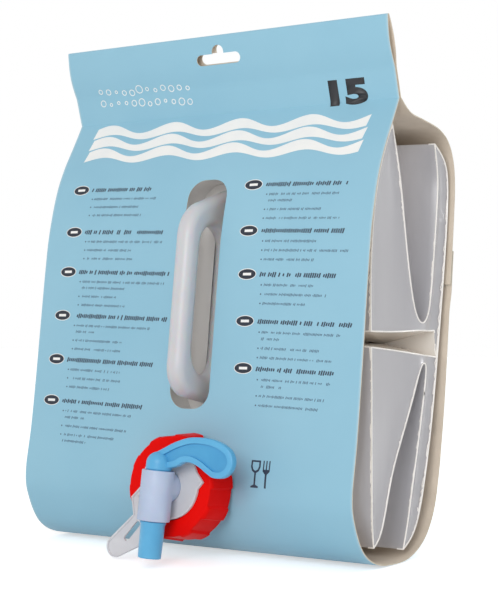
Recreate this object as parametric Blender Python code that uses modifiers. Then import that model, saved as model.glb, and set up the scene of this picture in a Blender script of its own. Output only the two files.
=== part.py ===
"""Collapsible water carrier, folded flat in its printed card sleeve.

Metres, +Z up.  The origin is the middle of the hanging slot in the card's header.
The front panel faces -Y and +X is to the right.  The sleeve is one strip of board; the
can inside is a soft cube whose side walls fold in; the tap sits on the can's neck.
"""
import math

import bmesh
import bpy
from mathutils import Matrix, Vector

MM = 0.001

# Sleeve: one strip of board round the can, folded over at the top
CARD_WIDTH = 250 * MM
CARD_HEIGHT = 328 * MM
CARD_DEPTH = 132 * MM
BOARD = 0.7 * MM
HEADER_LENGTH = 49.7 * MM
HEADER_LEAN = math.radians(17)
HEADER_BOW = 4.2 * MM
HEADER_BOW_END_SHARE = 0.62
SEAM_GAP = 1.0 * MM
LAP_LENGTH = 22 * MM
LAP_RAMP = 18 * MM
LAP_HEIGHT_SHARE = 0.50
LAP_STEP_SHARE = 0.8
GLUE_MARGIN = 3 * MM
GLUE_LENGTH = 13 * MM
STEPS_PER_SPAN = 4
FOLD_STEPS = 6
HEADER_STEPS = 10

# Clearances
FIT = 0.3 * MM
OVERRUN = 2 * MM
WELD = 0.01 * MM
CAN_GAP = 1.5 * MM
SIDE_GAP = 3 * MM

# Hanging slot
SLOT_DROP = 13.8 * MM
SLOT_WIDTH = 34 * MM
SLOT_HEIGHT = 7 * MM
SLOT_BUMP_WIDTH = 9 * MM
SLOT_BUMP_RISE = 5.5 * MM

# Handle, moulded with the can and reaching out through the sleeve
HANDLE_X = 3 * MM
HANDLE_DROP = 165 * MM
HANDLE_SINK = 0.28 * MM
PANEL_LEAN = math.radians(7.5)
CUTOUT_WIDTH = 30 * MM
CUTOUT_LENGTH = 146 * MM
CUTOUT_RADIUS = 12 * MM
GRIP_THICKNESS = 13 * MM
GRIP_ROUNDING = 5.5 * MM
GRIP_FRONT = 21 * MM
GRIP_DEPTH = 13.6 * MM
GRIP_TOP = 70 * MM
GRIP_BOTTOM = 68 * MM
GRIP_ROOT = 30 * MM
GRIP_SHOULDER = 35 * MM
GRIP_HEEL = 22 * MM
FINGER_TOP = 43 * MM
FINGER_BOTTOM = 51 * MM
RAIL_FRONT = 22 * MM
POCKET_WIDTH = 48 * MM
POCKET_LENGTH = 152 * MM
POCKET_RADIUS = 16 * MM

# Neck and tap, placed along the neck's axis from the sleeve's face outward
TAP_X = 10.2 * MM
TAP_RISE = 43.4 * MM
TAP_STAND = 1.14 * MM
TAP_LEAN = math.radians(6)
TAP_ROLL = math.radians(3)
NECK_OUTER = 52 * MM
NECK_BORE = 45 * MM
NECK_ROOT = 17 * MM
NECK_SEAT = 0.5 * MM
NUT_OUTER = 64 * MM
NUT_WALL = 2.6 * MM
NUT_FACE = 2.2 * MM
NUT_DEPTH = 20 * MM
NUT_START = 0.9 * MM
NUT_OPENING = 40 * MM
NUT_CHAMFER = 1.0 * MM
NUT_DRAFT = 2.0 * MM
GRIP_RIBS = 10
RIB_WIDTH = 8.5 * MM
RIB_HEIGHT = 1.3 * MM
RIB_START_SHARE = 0.25
GASKET_OUTER = 50 * MM
GASKET_BORE = 43 * MM
GASKET_THICKNESS = 2 * MM
FLANGE_OUTER = 51.5 * MM
FLANGE_THICKNESS = 2.3 * MM
SPIGOT_OUTER = 42 * MM
SPIGOT_BORE = 36 * MM
SPIGOT_LENGTH = 4 * MM
STUB = 19 * MM
INLET_BORE = 11 * MM
BARREL_REACH = 12.1 * MM
BARREL_OUTER = 19.6 * MM
BARREL_BORE = 15.2 * MM
BARREL_TOP = 9.6 * MM
BARREL_BOTTOM = 20.4 * MM
KEY_DOME = 15.6 * MM
KEY_DOME_HEIGHT = 11 * MM
KEY_DOME_STRAIGHT_SHARE = 0.35
KEY_DOME_STEPS = 6
SPOUT_BORE = 9.2 * MM
SPOUT_DROP = 42.5 * MM
SNAP_BEAD = 0.5 * MM
BORE_TOP = 4.8 * MM
PORT_BORE = 8 * MM
LEVER_REACH = 54 * MM
LEVER_HEIGHT = 32 * MM
LEVER_THICKNESS = 5 * MM
LEVER_RIM = 3.6 * MM
LEVER_WEB = 2.4 * MM
STRAP_THICKNESS = 1.6 * MM
STRAP_DISC = 42 * MM
STRAP_DISC_SHIFT = 2.2 * MM
STRAP_REACH = 60 * MM
STRAP_TIP = 13.2 * MM
STRAP_ANGLE = math.radians(226.4)
STRAP_TAPER = math.radians(20)
STRAP_ROOT = 30.4 * MM
STRAP_ROOT_ANGLE = math.radians(216.8)
STRAP_HEEL = 42.5 * MM
STRAP_HEEL_ANGLE = math.radians(242.4)
STRAP_FOOT_ANGLE = math.radians(265)
STRAP_SLOT = 3.6 * MM
STRAP_SLOT_LENGTH = 15.5 * MM
STRAP_SLOT_REACH = 45.5 * MM
STRAP_SLOT_ANGLE = math.radians(229)
STRAP_EAR = 26.3 * MM
STRAP_EAR_ANGLE = math.radians(9)
STRAP_EAR_SPREAD = math.radians(14)
HOLED_EAR = 27.8 * MM
HOLED_EAR_ANGLE = math.radians(196)
HOLED_EAR_SPREAD = math.radians(11)
STRAP_HOLE = 2.2 * MM
STRAP_HOLE_REACH = 21.7 * MM
ROUND_STEPS = 48

# Side view of the front panel, from the pinched header down to the bottom bend, and of
# the back panel, from the bottom bend up: shares of the sleeve's depth and height
FRONT_PANEL_SHARES = [(0.034, 0.195), (-0.038, 0.244), (-0.098, 0.299), (-0.152, 0.381),
                      (-0.184, 0.463), (-0.231, 0.610), (-0.282, 0.762), (-0.326, 0.863),
                      (-0.303, 0.915), (-0.227, 0.966), (-0.100, 0.993)]
BACK_PANEL_SHARES = [(0.085, 1.000), (0.227, 0.993), (0.356, 0.966), (0.445, 0.918),
                     (0.494, 0.854), (0.527, 0.787), (0.561, 0.701), (0.597, 0.579),
                     (0.632, 0.457), (0.661, 0.351), (0.671, 0.290), (0.655, 0.244),
                     (0.600, 0.208), (0.500, 0.187), (0.341, 0.176), (0.215, 0.168)]

# Folded can, right half, in side view: heights as shares of the sleeve's height
FRONT_HEIGHT_SHARES = [0.290, 0.450, 0.610, 0.762, 0.870, 0.925]
BACK_HEIGHT_SHARES = [0.955, 0.870, 0.740, 0.560, 0.400, 0.300, 0.245]


def clear_scene():
    for found in list(bpy.data.objects):
        bpy.data.objects.remove(found, do_unlink=True)


clear_scene()
parts = bpy.data.collections.new("collapsible_water_carrier")
cutters = bpy.data.collections.new("cutters")
for made in (parts, cutters):
    bpy.context.scene.collection.children.link(made)


def principled(name, colour, roughness):
    found = bpy.data.materials.new(name)
    found.use_nodes = True
    shader = found.node_tree.nodes["Principled BSDF"]
    shader.inputs["Base Color"].default_value = (*colour, 1)
    shader.inputs["Roughness"].default_value = roughness
    shader.inputs["Metallic"].default_value = 0
    return found


board_blue = principled("printed_board", (0.30, 0.57, 0.68), 0.55)
glue_clear = principled("glue", (0.80, 0.76, 0.62), 0.40)
film_clear = principled("clear_film", (0.62, 0.63, 0.66), 0.30)
handle_clear = principled("clear_moulding", (0.72, 0.74, 0.76), 0.25)
nut_red = principled("red_moulding", (0.85, 0.02, 0.01), 0.35)
seal_white = principled("seal_rubber", (0.80, 0.80, 0.78), 0.70)
tap_clear = principled("tap_moulding", (0.60, 0.68, 0.80), 0.30)
key_blue = principled("blue_moulding", (0.10, 0.42, 0.70), 0.30)


def add_object(name, mesh, home, material=None):
    made = bpy.data.objects.new(name, mesh)
    home.objects.link(made)
    if material:
        made.data.materials.append(material)
    if home is cutters:
        made.hide_render = True
        made.display_type = "WIRE"
    return made


def mesh_from(name, verts, faces):
    mesh = bpy.data.meshes.new(name)
    mesh.from_pydata([tuple(point) for point in verts], [], faces)
    mesh.update()
    return mesh


def outward_frame(name, x, y, z, axis_up):
    """Empty at a place in front of the sleeve; its Z leans up by axis_up from straight out."""
    made = bpy.data.objects.new(name, None)
    parts.objects.link(made)
    out = Vector((0, -math.cos(axis_up), math.sin(axis_up)))
    right = Vector((1, 0, 0))
    up = out.cross(right)
    basis = Matrix((right, up, out)).transposed().to_4x4()
    made.matrix_world = Matrix.Translation((x, y, z)) @ basis
    return made


def turned_frame(name, base, move):
    """Empty that sits at a move from another frame."""
    made = bpy.data.objects.new(name, None)
    parts.objects.link(made)
    made.matrix_world = base.matrix_world @ move
    return made


def put_in(child, parent):
    child.parent = parent


def evaluated_mesh(found):
    """The plain mesh of a curve, or of an object with its modifiers."""
    bpy.context.view_layer.update()
    graph = bpy.context.evaluated_depsgraph_get()
    return bpy.data.meshes.new_from_object(found.evaluated_get(graph))


def weld(mesh):
    """Join the loose caps of a curve's mesh to its sides."""
    welded = bmesh.new()
    welded.from_mesh(mesh)
    bmesh.ops.remove_doubles(welded, verts=welded.verts, dist=WELD)
    bmesh.ops.recalc_face_normals(welded, faces=welded.faces)
    welded.to_mesh(mesh)
    welded.free()


def turned(name, profile, home=parts, material=None, steps=ROUND_STEPS):
    """Turn a profile of (radius, height), listed from the top down its outer side."""
    points = [(radius, 0, height) for radius, height in profile]
    edges = [(i, i + 1) for i in range(len(points) - 1)]
    if profile[0][0] > 0:
        edges.append((len(points) - 1, 0))
    mesh = bpy.data.meshes.new(name)
    mesh.from_pydata(points, edges, [])
    made = add_object(name, mesh, home, material)
    screw = made.modifiers.new("turn", "SCREW")
    screw.steps = steps
    screw.render_steps = steps
    screw.use_merge_vertices = True
    screw.merge_threshold = WELD
    made.data.shade_smooth()
    return made


def block(name, size, home, material=None):
    """Plain block about its own centre."""
    bpy.ops.mesh.primitive_cube_add(size=1)
    made = bpy.context.object
    made.name = name
    made.data.transform(Matrix.Diagonal((*size, 1)))
    for found in made.users_collection:
        found.objects.unlink(made)
    home.objects.link(made)
    if material:
        made.data.materials.append(material)
    return made


def extruded(name, outlines, thickness, home=parts, material=None):
    """Extrude closed outlines (the first outer, the others holes) about the XY plane."""
    curve = bpy.data.curves.new(name, "CURVE")
    curve.dimensions = "2D"
    curve.fill_mode = "BOTH"
    curve.extrude = thickness / 2
    for outline in outlines:
        spline = curve.splines.new("POLY")
        spline.points.add(len(outline) - 1)
        for point, place in zip(spline.points, outline):
            point.co = (place[0], place[1], 0, 1)
        spline.use_cyclic_u = True
    drawn = bpy.data.objects.new(name, curve)
    cutters.objects.link(drawn)
    mesh = evaluated_mesh(drawn)
    weld(mesh)
    bpy.data.objects.remove(drawn, do_unlink=True)
    return add_object(name, mesh, home, material)


def arc(centre, radius, start, end, steps):
    span = (end - start) / steps
    return [(centre[0] + radius * math.cos(start + span * i),
             centre[1] + radius * math.sin(start + span * i)) for i in range(steps + 1)]


def circle(radius, steps):
    return arc((0, 0), radius, 0, 2 * math.pi * (steps - 1) / steps, steps - 1)


def rounded_oblong(width, length, radius, steps=8):
    half_x = width / 2 - radius
    half_y = length / 2 - radius
    corners = [(half_x, half_y, 0), (-half_x, half_y, 1), (-half_x, -half_y, 2),
               (half_x, -half_y, 3)]
    quarter = math.pi / 2
    points = []
    for x, y, turns in corners:
        points += arc((x, y), radius, turns * quarter, (turns + 1) * quarter, steps)
    return points


def smooth_path(stations, steps):
    """Points on a smooth curve through stations; the first and last only steer it."""
    points = []
    for before, start, end, after in zip(stations, stations[1:], stations[2:], stations[3:]):
        for i in range(steps):
            t = i / steps
            points.append(0.5 * (2 * start + (end - before) * t
                                 + (2 * before - 5 * start + 4 * end - after) * t ** 2
                                 + (3 * start - before - 3 * end + after) * t ** 3))
    points.append(stations[-2])
    return points


def boolean(target, tool, operation):
    step = target.modifiers.new(operation.lower(), "BOOLEAN")
    step.operation = operation
    step.object = tool
    step.solver = "EXACT"


def settle(target):
    """Apply the modifiers of an object, so that later steps read a plain mesh."""
    mesh = evaluated_mesh(target)
    material = target.data.materials[0] if target.data.materials else None
    target.modifiers.clear()
    target.data = mesh
    if material and not mesh.materials:
        mesh.materials.append(material)


def cut(target, tool):
    boolean(target, tool, "DIFFERENCE")


def join(target, tool):
    """Add a body to another and drop the loose copy."""
    boolean(target, tool, "UNION")
    settle(target)
    bpy.data.objects.remove(tool, do_unlink=True)


def shade(found, angle=35):
    found.data.shade_smooth()
    found.data.set_sharp_from_angle(angle=math.radians(angle))


# Side view of the sleeve: places are (y, z) from the hanging slot
header_down = Vector((math.sin(HEADER_LEAN), -math.cos(HEADER_LEAN)))
header_back = Vector((math.cos(HEADER_LEAN), math.sin(HEADER_LEAN)))
top_fold = -header_down * SLOT_DROP


def in_side_view(depth_share, height_share):
    return top_fold + Vector((depth_share * CARD_DEPTH, -height_share * CARD_HEIGHT))


def panel_depth(stations, height_share):
    """Depth share of a panel at a height share, between its stations."""
    ordered = sorted(stations, key=lambda station: station[1])
    for (depth_a, height_a), (depth_b, height_b) in zip(ordered, ordered[1:]):
        if height_a <= height_share <= height_b:
            share = (height_share - height_a) / (height_b - height_a)
            return depth_a + (depth_b - depth_a) * share
    return ordered[-1][0]


def front_line(drop):
    """Place on the front panel at a drop below the fold, straight between stations."""
    height_share = drop / CARD_HEIGHT
    return in_side_view(panel_depth(FRONT_PANEL_SHARES, height_share), height_share)


def header_half_gap(share):
    pinched = (BOARD + SEAM_GAP) / 2
    if share >= HEADER_BOW_END_SHARE:
        return pinched
    return pinched + HEADER_BOW / 2 * math.sin(math.pi * share / HEADER_BOW_END_SHARE)


def header_layer(side):
    """One header layer from the fold to the pinch; side -1 is the front, 1 the back."""
    places = []
    for i in range(HEADER_STEPS + 1):
        share = i / HEADER_STEPS
        middle = top_fold + header_down * (HEADER_LENGTH * share)
        places.append(middle + header_back * (side * header_half_gap(share)))
    return places


def sleeve_loop():
    """The whole loop: down the front, round the bottom, up the back, over the fold."""
    front = header_layer(-1)
    back = header_layer(1)
    stations = [in_side_view(*share) for share in FRONT_PANEL_SHARES + BACK_PANEL_SHARES]
    panel = smooth_path([front[-2], front[-1]] + stations + [back[-1], back[-2]],
                        STEPS_PER_SPAN)
    fold = []
    for i in range(1, FOLD_STEPS):
        turn = math.pi * i / FOLD_STEPS
        fold.append(top_fold + header_half_gap(0) * (header_back * math.cos(turn)
                                                     - header_down * math.sin(turn)))
    return front[:-1] + panel + back[-2::-1] + fold


loop = sleeve_loop()


def loop_lengths():
    lengths = [0.0]
    for here, there in zip(loop, loop[1:] + loop[:1]):
        lengths.append(lengths[-1] + (there - here).length)
    return lengths


loop_marks = loop_lengths()
loop_total = loop_marks[-1]


def lap_mark():
    """Distance along the loop at which the strip starts, on the back panel."""
    height = in_side_view(0, LAP_HEIGHT_SHARE).y
    found = [mark for mark, place in zip(loop_marks, loop)
             if mark > loop_total / 2 and place.y > height]
    return found[0]


def outward(index):
    before = loop[index - 1]
    after = loop[(index + 1) % len(loop)]
    along = (after - before).normalized()
    return Vector((along.y, -along.x))


def on_loop(mark):
    """Place on the loop at a distance along it, and the way into the sleeve there."""
    mark = mark % loop_total
    here = max(i for i, start in enumerate(loop_marks[:-1]) if start <= mark)
    after = (here + 1) % len(loop)
    share = (mark - loop_marks[here]) / (loop_marks[here + 1] - loop_marks[here])
    inward = -outward(here).lerp(outward(after), share).normalized()
    return loop[here].lerp(loop[after], share), inward


def strip_points(start, end, offset):
    """Places along the loop between two distances; offset gives the step into the sleeve."""
    turns = int(end // loop_total) + 1
    marks = [mark + loop_total * turn for turn in range(turns + 1) for mark in loop_marks[:-1]]
    inner = [mark for mark in marks if start + FIT < mark < end - FIT]
    points = []
    for mark in [start] + inner + [end]:
        place, inward = on_loop(mark)
        points.append(place + inward * offset(mark))
    return points


def strip(name, points, width, thickness, material):
    """A sheet swept across the sleeve's width, given its thickness by Solidify."""
    half = width / 2
    verts = [(side * half, place.x, place.y) for place in points for side in (-1, 1)]
    faces = [(2 * i, 2 * i + 1, 2 * i + 3, 2 * i + 2) for i in range(len(points) - 1)]
    made = add_object(name, mesh_from(name, verts, faces), parts, material)
    solid = made.modifiers.new("board", "SOLIDIFY")
    solid.thickness = thickness
    solid.offset = 0
    solid.use_even_offset = True
    settle(made)
    return made


lap_start = lap_mark()
lap_end = lap_start + loop_total


def lap_step(mark):
    """The strip's last stretch steps outward, over its own start."""
    share = (mark - (lap_end - LAP_RAMP)) / (LAP_RAMP * LAP_STEP_SHARE)
    share = min(max(share, 0.0), 1.0)
    return -(BOARD + SEAM_GAP) * share ** 2 * (3 - 2 * share)


display_card = strip("display_card", strip_points(lap_start, lap_end + LAP_LENGTH, lap_step),
                     CARD_WIDTH, BOARD, board_blue)

glue_thickness = SEAM_GAP - 2 * FIT
seam_places = strip_points(lap_start + GLUE_MARGIN, lap_end - loop_total + LAP_LENGTH,
                           lambda mark: -(BOARD + SEAM_GAP) / 2)
seam_glue_strip = strip("seam_glue_strip", seam_places, CARD_WIDTH - 2 * GLUE_MARGIN,
                        glue_thickness, glue_clear)


def glue_in_header():
    """Flat film of glue between the header layers, just above the pinch."""
    middle = top_fold + header_down * (HEADER_LENGTH * (1 + HEADER_BOW_END_SHARE) / 2)
    made = block("header_glue_strip", (CARD_WIDTH - 2 * GLUE_MARGIN, GLUE_LENGTH,
                                       glue_thickness), parts, glue_clear)
    put_in(made, outward_frame("header_glue_place", 0, middle.x, middle.y, -HEADER_LEAN))
    return made


header_glue_strip = glue_in_header()


def slot_outline():
    """Hanging slot with a rounded bump in the middle of its upper side."""
    half = SLOT_WIDTH / 2
    end = SLOT_HEIGHT / 2
    bump = SLOT_BUMP_WIDTH / 2
    rise = end + SLOT_BUMP_RISE - bump
    quarter = math.pi / 2
    right = arc((half - end, 0), end, -quarter, quarter, 8)
    top = arc((0, rise), bump, 0, math.pi, 8)
    left = arc((-half + end, 0), end, quarter, 3 * quarter, 8)
    return right + [(bump, end)] + top + [(-bump, end)] + left


slot_frame = outward_frame("hang_slot_place", 0, 0, 0, -HEADER_LEAN)
slot_cutter = extruded("slot_cutter", [slot_outline()],
                       2 * (HEADER_BOW + SEAM_GAP + OVERRUN), cutters)
put_in(slot_cutter, slot_frame)

handle_line = front_line(HANDLE_DROP)
handle_frame = outward_frame("handle_place", HANDLE_X, handle_line.x + HANDLE_SINK,
                             handle_line.y, PANEL_LEAN)
cutout_cutter = extruded("cutout_cutter",
                         [rounded_oblong(CUTOUT_WIDTH, CUTOUT_LENGTH, CUTOUT_RADIUS)],
                         2 * (RAIL_FRONT - OVERRUN), cutters)
put_in(cutout_cutter, handle_frame)

neck_line = front_line(CARD_HEIGHT - TAP_RISE)
neck_frame = outward_frame("neck_place", TAP_X, neck_line.x - TAP_STAND, neck_line.y,
                           TAP_LEAN)
nut_end = NUT_START + NUT_DEPTH
flange_front = nut_end - NUT_FACE - FIT
flange_back = flange_front - FLANGE_THICKNESS
gasket_front = flange_back - FIT
gasket_back = gasket_front - GASKET_THICKNESS
neck_rim = gasket_back - FIT


def rod(name, radius, top, bottom, parent, home=cutters, steps=ROUND_STEPS):
    """Plain cylinder along its frame's Z."""
    made = turned(name, [(0, top), (radius, top), (radius, bottom), (0, bottom)], home,
                  steps=steps)
    put_in(made, parent)
    return made


neck_hole_cutter = rod("neck_hole_cutter", NECK_OUTER / 2 + NECK_SEAT, NECK_ROOT,
                       -NECK_ROOT, neck_frame)
for tool in (slot_cutter, cutout_cutter, neck_hole_cutter):
    cut(display_card, tool)
settle(display_card)
shade(display_card)


# The can: a soft cube, its four side walls folded in, as a coarse cage
def front_wall(height_share, gap):
    place = in_side_view(panel_depth(FRONT_PANEL_SHARES, height_share), height_share)
    return place + Vector((BOARD / 2 + gap, 0))


def back_wall(height_share, gap):
    place = in_side_view(panel_depth(BACK_PANEL_SHARES, height_share), height_share)
    return place - Vector((BOARD / 2 + gap, 0))


# Corners and fold lines of the can in side view, as shares of the sleeve's depth and height
TOP_FRONT_SHARE = (0.084, 0.204)
TOP_BACK_SHARE = (0.505, 0.212)
BOTTOM_FRONT_SHARE = (-0.090, 0.966)
BOTTOM_BACK_SHARE = (0.195, 0.981)
END_TOP_FOLD_SHARE = (0.399, 0.572)
END_BOTTOM_FOLD_SHARE = (0.409, 0.631)
MIDDLE_TOP_FOLD_SHARE = (0.385, 0.500)
MIDDLE_BOTTOM_FOLD_SHARE = (0.350, 0.700)
END_MIDDLE_SHARE = (0.402, 0.601)
END_CROWN_SHARE = 1.004
TUCK_WIDTH_SHARE = 0.42
TUCK_MARGIN = 5 * MM
END_CREASE = 0.9
TRAILING_SHARES = [0.005, 0.020, 0.055, 0.085, 0.125, 0.160]
END_BACK_GAP_SHARES = [0.055, 0.080, 0.055, 0.035, 0.012, 0.010, 0.012]


def can_section(end):
    """Side view of the can; end runs from 0 at the middle to 1 at the open side."""
    top_fold_share = [a + (b - a) * end for a, b in
                      zip(MIDDLE_TOP_FOLD_SHARE, END_TOP_FOLD_SHARE)]
    bottom_fold_share = [a + (b - a) * end for a, b in
                         zip(MIDDLE_BOTTOM_FOLD_SHARE, END_BOTTOM_FOLD_SHARE)]
    corners = {"top_front": in_side_view(*TOP_FRONT_SHARE),
               "bottom_front": in_side_view(*BOTTOM_FRONT_SHARE),
               "bottom_back": in_side_view(*BOTTOM_BACK_SHARE),
               "top_back": in_side_view(*TOP_BACK_SHARE),
               "top_fold": in_side_view(*top_fold_share),
               "bottom_fold": in_side_view(*bottom_fold_share)}
    trailing = end ** 3
    front = [front_wall(share, CAN_GAP + trailing * extra * CARD_DEPTH)
             for share, extra in zip(FRONT_HEIGHT_SHARES, TRAILING_SHARES)]
    back = [back_wall(share, CAN_GAP + trailing * extra * CARD_DEPTH)
            for share, extra in zip(BACK_HEIGHT_SHARES, END_BACK_GAP_SHARES)]
    section = [corners["top_front"]] + front + [corners["bottom_front"]]
    section += [(corners["bottom_front"] + corners["bottom_fold"]) / 2]
    section += [corners["bottom_fold"]]
    section += [(corners["bottom_back"] + corners["bottom_fold"]) / 2]
    section += [corners["bottom_back"]] + back + [corners["top_back"]]
    section += [(corners["top_back"] + corners["top_fold"]) / 2]
    section += [corners["top_fold"]]
    section += [(corners["top_front"] + corners["top_fold"]) / 2]
    return section


SECTION_SHARES = [0.0, 0.45, 0.86, 1.0]
fold_marks = {"top_front": 0, "bottom_front": len(FRONT_HEIGHT_SHARES) + 1}
fold_marks["bottom_fold"] = fold_marks["bottom_front"] + 2
fold_marks["bottom_back"] = fold_marks["bottom_fold"] + 2
fold_marks["top_back"] = fold_marks["bottom_back"] + len(BACK_HEIGHT_SHARES) + 1
fold_marks["top_fold"] = fold_marks["top_back"] + 2
can_half = CARD_WIDTH / 2 - SIDE_GAP


def make_can():
    """Right half of the cage, closed by its end wall, mirrored and smoothed."""
    verts = []
    faces = []
    count = len(can_section(0))
    for share in SECTION_SHARES:
        verts += [(share * can_half, place.x, place.y) for place in can_section(share)]
    for ring in range(len(SECTION_SHARES) - 1):
        for i in range(count):
            here = ring * count + i
            beside = ring * count + (i + 1) % count
            faces.append((here, here + count, beside + count, beside))
    middle = in_side_view(*END_MIDDLE_SHARE)
    verts.append((END_CROWN_SHARE * can_half, middle.x, middle.y))
    last = (len(SECTION_SHARES) - 1) * count
    for i in range(count):
        faces.append((last + i, len(verts) - 1, last + (i + 1) % count))
    made = add_object("can_body", mesh_from("can_body", verts, faces), parts, film_clear)
    crease = made.data.attributes.new("crease_edge", "FLOAT", "EDGE")
    folds = set(fold_marks.values())
    for edge in made.data.edges:
        a, b = edge.vertices
        along_width = a % count == b % count and a % count in folds and max(a, b) < len(verts) - 1
        round_end = a >= last and b >= last and max(a, b) < len(verts) - 1
        if along_width:
            crease.data[edge.index].value = 1.0
        elif round_end:
            crease.data[edge.index].value = END_CREASE
    half = made.modifiers.new("other_half", "MIRROR")
    half.use_clip = True
    half.merge_threshold = WELD
    soft = made.modifiers.new("soft_film", "SUBSURF")
    soft.levels = 2
    soft.render_levels = 2
    settle(made)
    return made


def side_tuck(side):
    """Wedge taken out of an end wall, where its middle is folded in between two lips."""
    top = in_side_view(*END_TOP_FOLD_SHARE)
    bottom = in_side_view(*END_BOTTOM_FOLD_SHARE)
    middle = in_side_view(*END_MIDDLE_SHARE)
    front = front_wall(END_MIDDLE_SHARE[1], CAN_GAP + TUCK_MARGIN).x
    mouth = side * (can_half + OVERRUN)
    root = side * can_half * TUCK_WIDTH_SHARE
    verts = []
    for y in (front, middle.x - TUCK_MARGIN / 2):
        verts += [(mouth, y, top.y), (mouth, y, bottom.y), (root, y, middle.y)]
    faces = [(0, 1, 2), (3, 5, 4), (0, 3, 4, 1), (1, 4, 5, 2), (2, 5, 3, 0)]
    if side > 0:
        faces = [face[::-1] for face in faces]
    return add_object("side_tuck_cutter", mesh_from("side_tuck_cutter", verts, faces), cutters)


can_body = make_can()
for side in (-1, 1):
    cut(can_body, side_tuck(side))
pocket_cutter = extruded("pocket_cutter",
                         [rounded_oblong(POCKET_WIDTH, POCKET_LENGTH, POCKET_RADIUS)],
                         2 * (GRIP_ROOT + FIT), cutters)
put_in(pocket_cutter, handle_frame)
socket_cutter = rod("socket_cutter", NECK_OUTER / 2 + FIT, NUT_DEPTH, -NECK_ROOT - FIT,
                    neck_frame)
cut(can_body, pocket_cutter)
cut(can_body, socket_cutter)
settle(can_body)
shade(can_body, 50)


# The handle: a flat ring with rounded edges, its rail at the bottom of the can's pocket
def handle_outlines():
    """Outer outline and finger hole, as (out from the sleeve, up)."""
    front = GRIP_FRONT
    back = -GRIP_ROOT
    slope = GRIP_DEPTH / 2
    outer = [(back, -GRIP_BOTTOM), (back, GRIP_TOP), (back + slope, GRIP_TOP),
             (front - slope, GRIP_SHOULDER + slope), (front, GRIP_SHOULDER - slope)]
    outer += arc((front - GRIP_DEPTH, GRIP_HEEL - GRIP_BOTTOM), GRIP_DEPTH, 0,
                 -math.pi / 3, 4)
    outer += [(back + GRIP_DEPTH, -GRIP_BOTTOM)]
    hole_front = front - GRIP_DEPTH
    radius = (hole_front + RAIL_FRONT) / 2
    middle = hole_front - radius
    hole = arc((middle, FINGER_TOP - radius), radius, 0, math.pi, 10)
    hole += arc((middle, radius - FINGER_BOTTOM), radius, math.pi, 2 * math.pi, 10)
    return [outer, hole]


def make_handle():
    """Extruded ring, stood upright across the sleeve, its edges rounded by a Bevel."""
    made = extruded("carry_handle", handle_outlines(), GRIP_THICKNESS, material=handle_clear)
    made.data.transform(Matrix.Rotation(-math.pi / 2, 4, "Y"))
    put_in(made, handle_frame)
    edges = made.modifiers.new("rounded_edges", "BEVEL")
    edges.width = GRIP_ROUNDING
    edges.segments = 3
    edges.limit_method = "ANGLE"
    edges.angle_limit = math.radians(60)
    edges.use_clamp_overlap = False
    settle(made)
    shade(made)
    return made


carry_handle = make_handle()

# The neck: a plain tube from the can's front out through the sleeve
neck_outer = NECK_OUTER / 2
neck_inner = NECK_BORE / 2
can_neck = turned("can_neck", [(neck_inner, neck_rim), (neck_outer, neck_rim),
                               (neck_outer, -NECK_ROOT), (neck_inner, -NECK_ROOT)],
                  material=handle_clear)
put_in(can_neck, neck_frame)

# The nut: cup, opening and grip ribs
nut_radius = NUT_OUTER / 2
nut_inside = nut_radius - NUT_WALL
opening = NUT_OPENING / 2
union_nut = turned("union_nut", [
    (opening, nut_end - NUT_CHAMFER), (opening + NUT_CHAMFER, nut_end),
    (nut_radius - NUT_DRAFT - NUT_CHAMFER, nut_end),
    (nut_radius - NUT_DRAFT, nut_end - NUT_CHAMFER), (nut_radius, NUT_START),
    (nut_inside, NUT_START), (nut_inside - NUT_DRAFT, nut_end - NUT_FACE),
    (opening, nut_end - NUT_FACE)], material=nut_red)
put_in(union_nut, neck_frame)


def grip_rib(index):
    """One low rib across the nut's side, leaning with its wall and sunk a little into it."""
    height = RIB_HEIGHT + NUT_WALL / 2
    made = block("grip_rib", (height, RIB_WIDTH, NUT_DEPTH - 2 * NUT_CHAMFER), cutters)
    place = Matrix.Translation((nut_radius - NUT_DRAFT / 2 + RIB_HEIGHT - height / 2, 0,
                                NUT_START + NUT_DEPTH / 2))
    lean = Matrix.Rotation(-math.atan(NUT_DRAFT / NUT_DEPTH), 4, "Y")
    turn = Matrix.Rotation(2 * math.pi * (index + RIB_START_SHARE) / GRIP_RIBS, 4, "Z")
    made.data.transform(turn @ place @ lean)
    put_in(made, neck_frame)
    return made


for rib in range(GRIP_RIBS):
    join(union_nut, grip_rib(rib))
shade(union_nut)

neck_gasket = turned("neck_gasket", [
    (GASKET_BORE / 2, gasket_front), (GASKET_OUTER / 2, gasket_front),
    (GASKET_OUTER / 2, gasket_back), (GASKET_BORE / 2, gasket_back)], material=seal_white)
put_in(neck_gasket, neck_frame)

# The tap, rolled a little on the neck
tap_frame = turned_frame("tap_place", neck_frame, Matrix.Rotation(-TAP_ROLL, 4, "Z"))
barrel_axis_out = nut_end + BARREL_REACH
barrel_frame = turned_frame("barrel_axis", tap_frame,
                            Matrix.Translation((0, 0, barrel_axis_out))
                            @ Matrix.Rotation(-math.pi / 2, 4, "X"))

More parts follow.
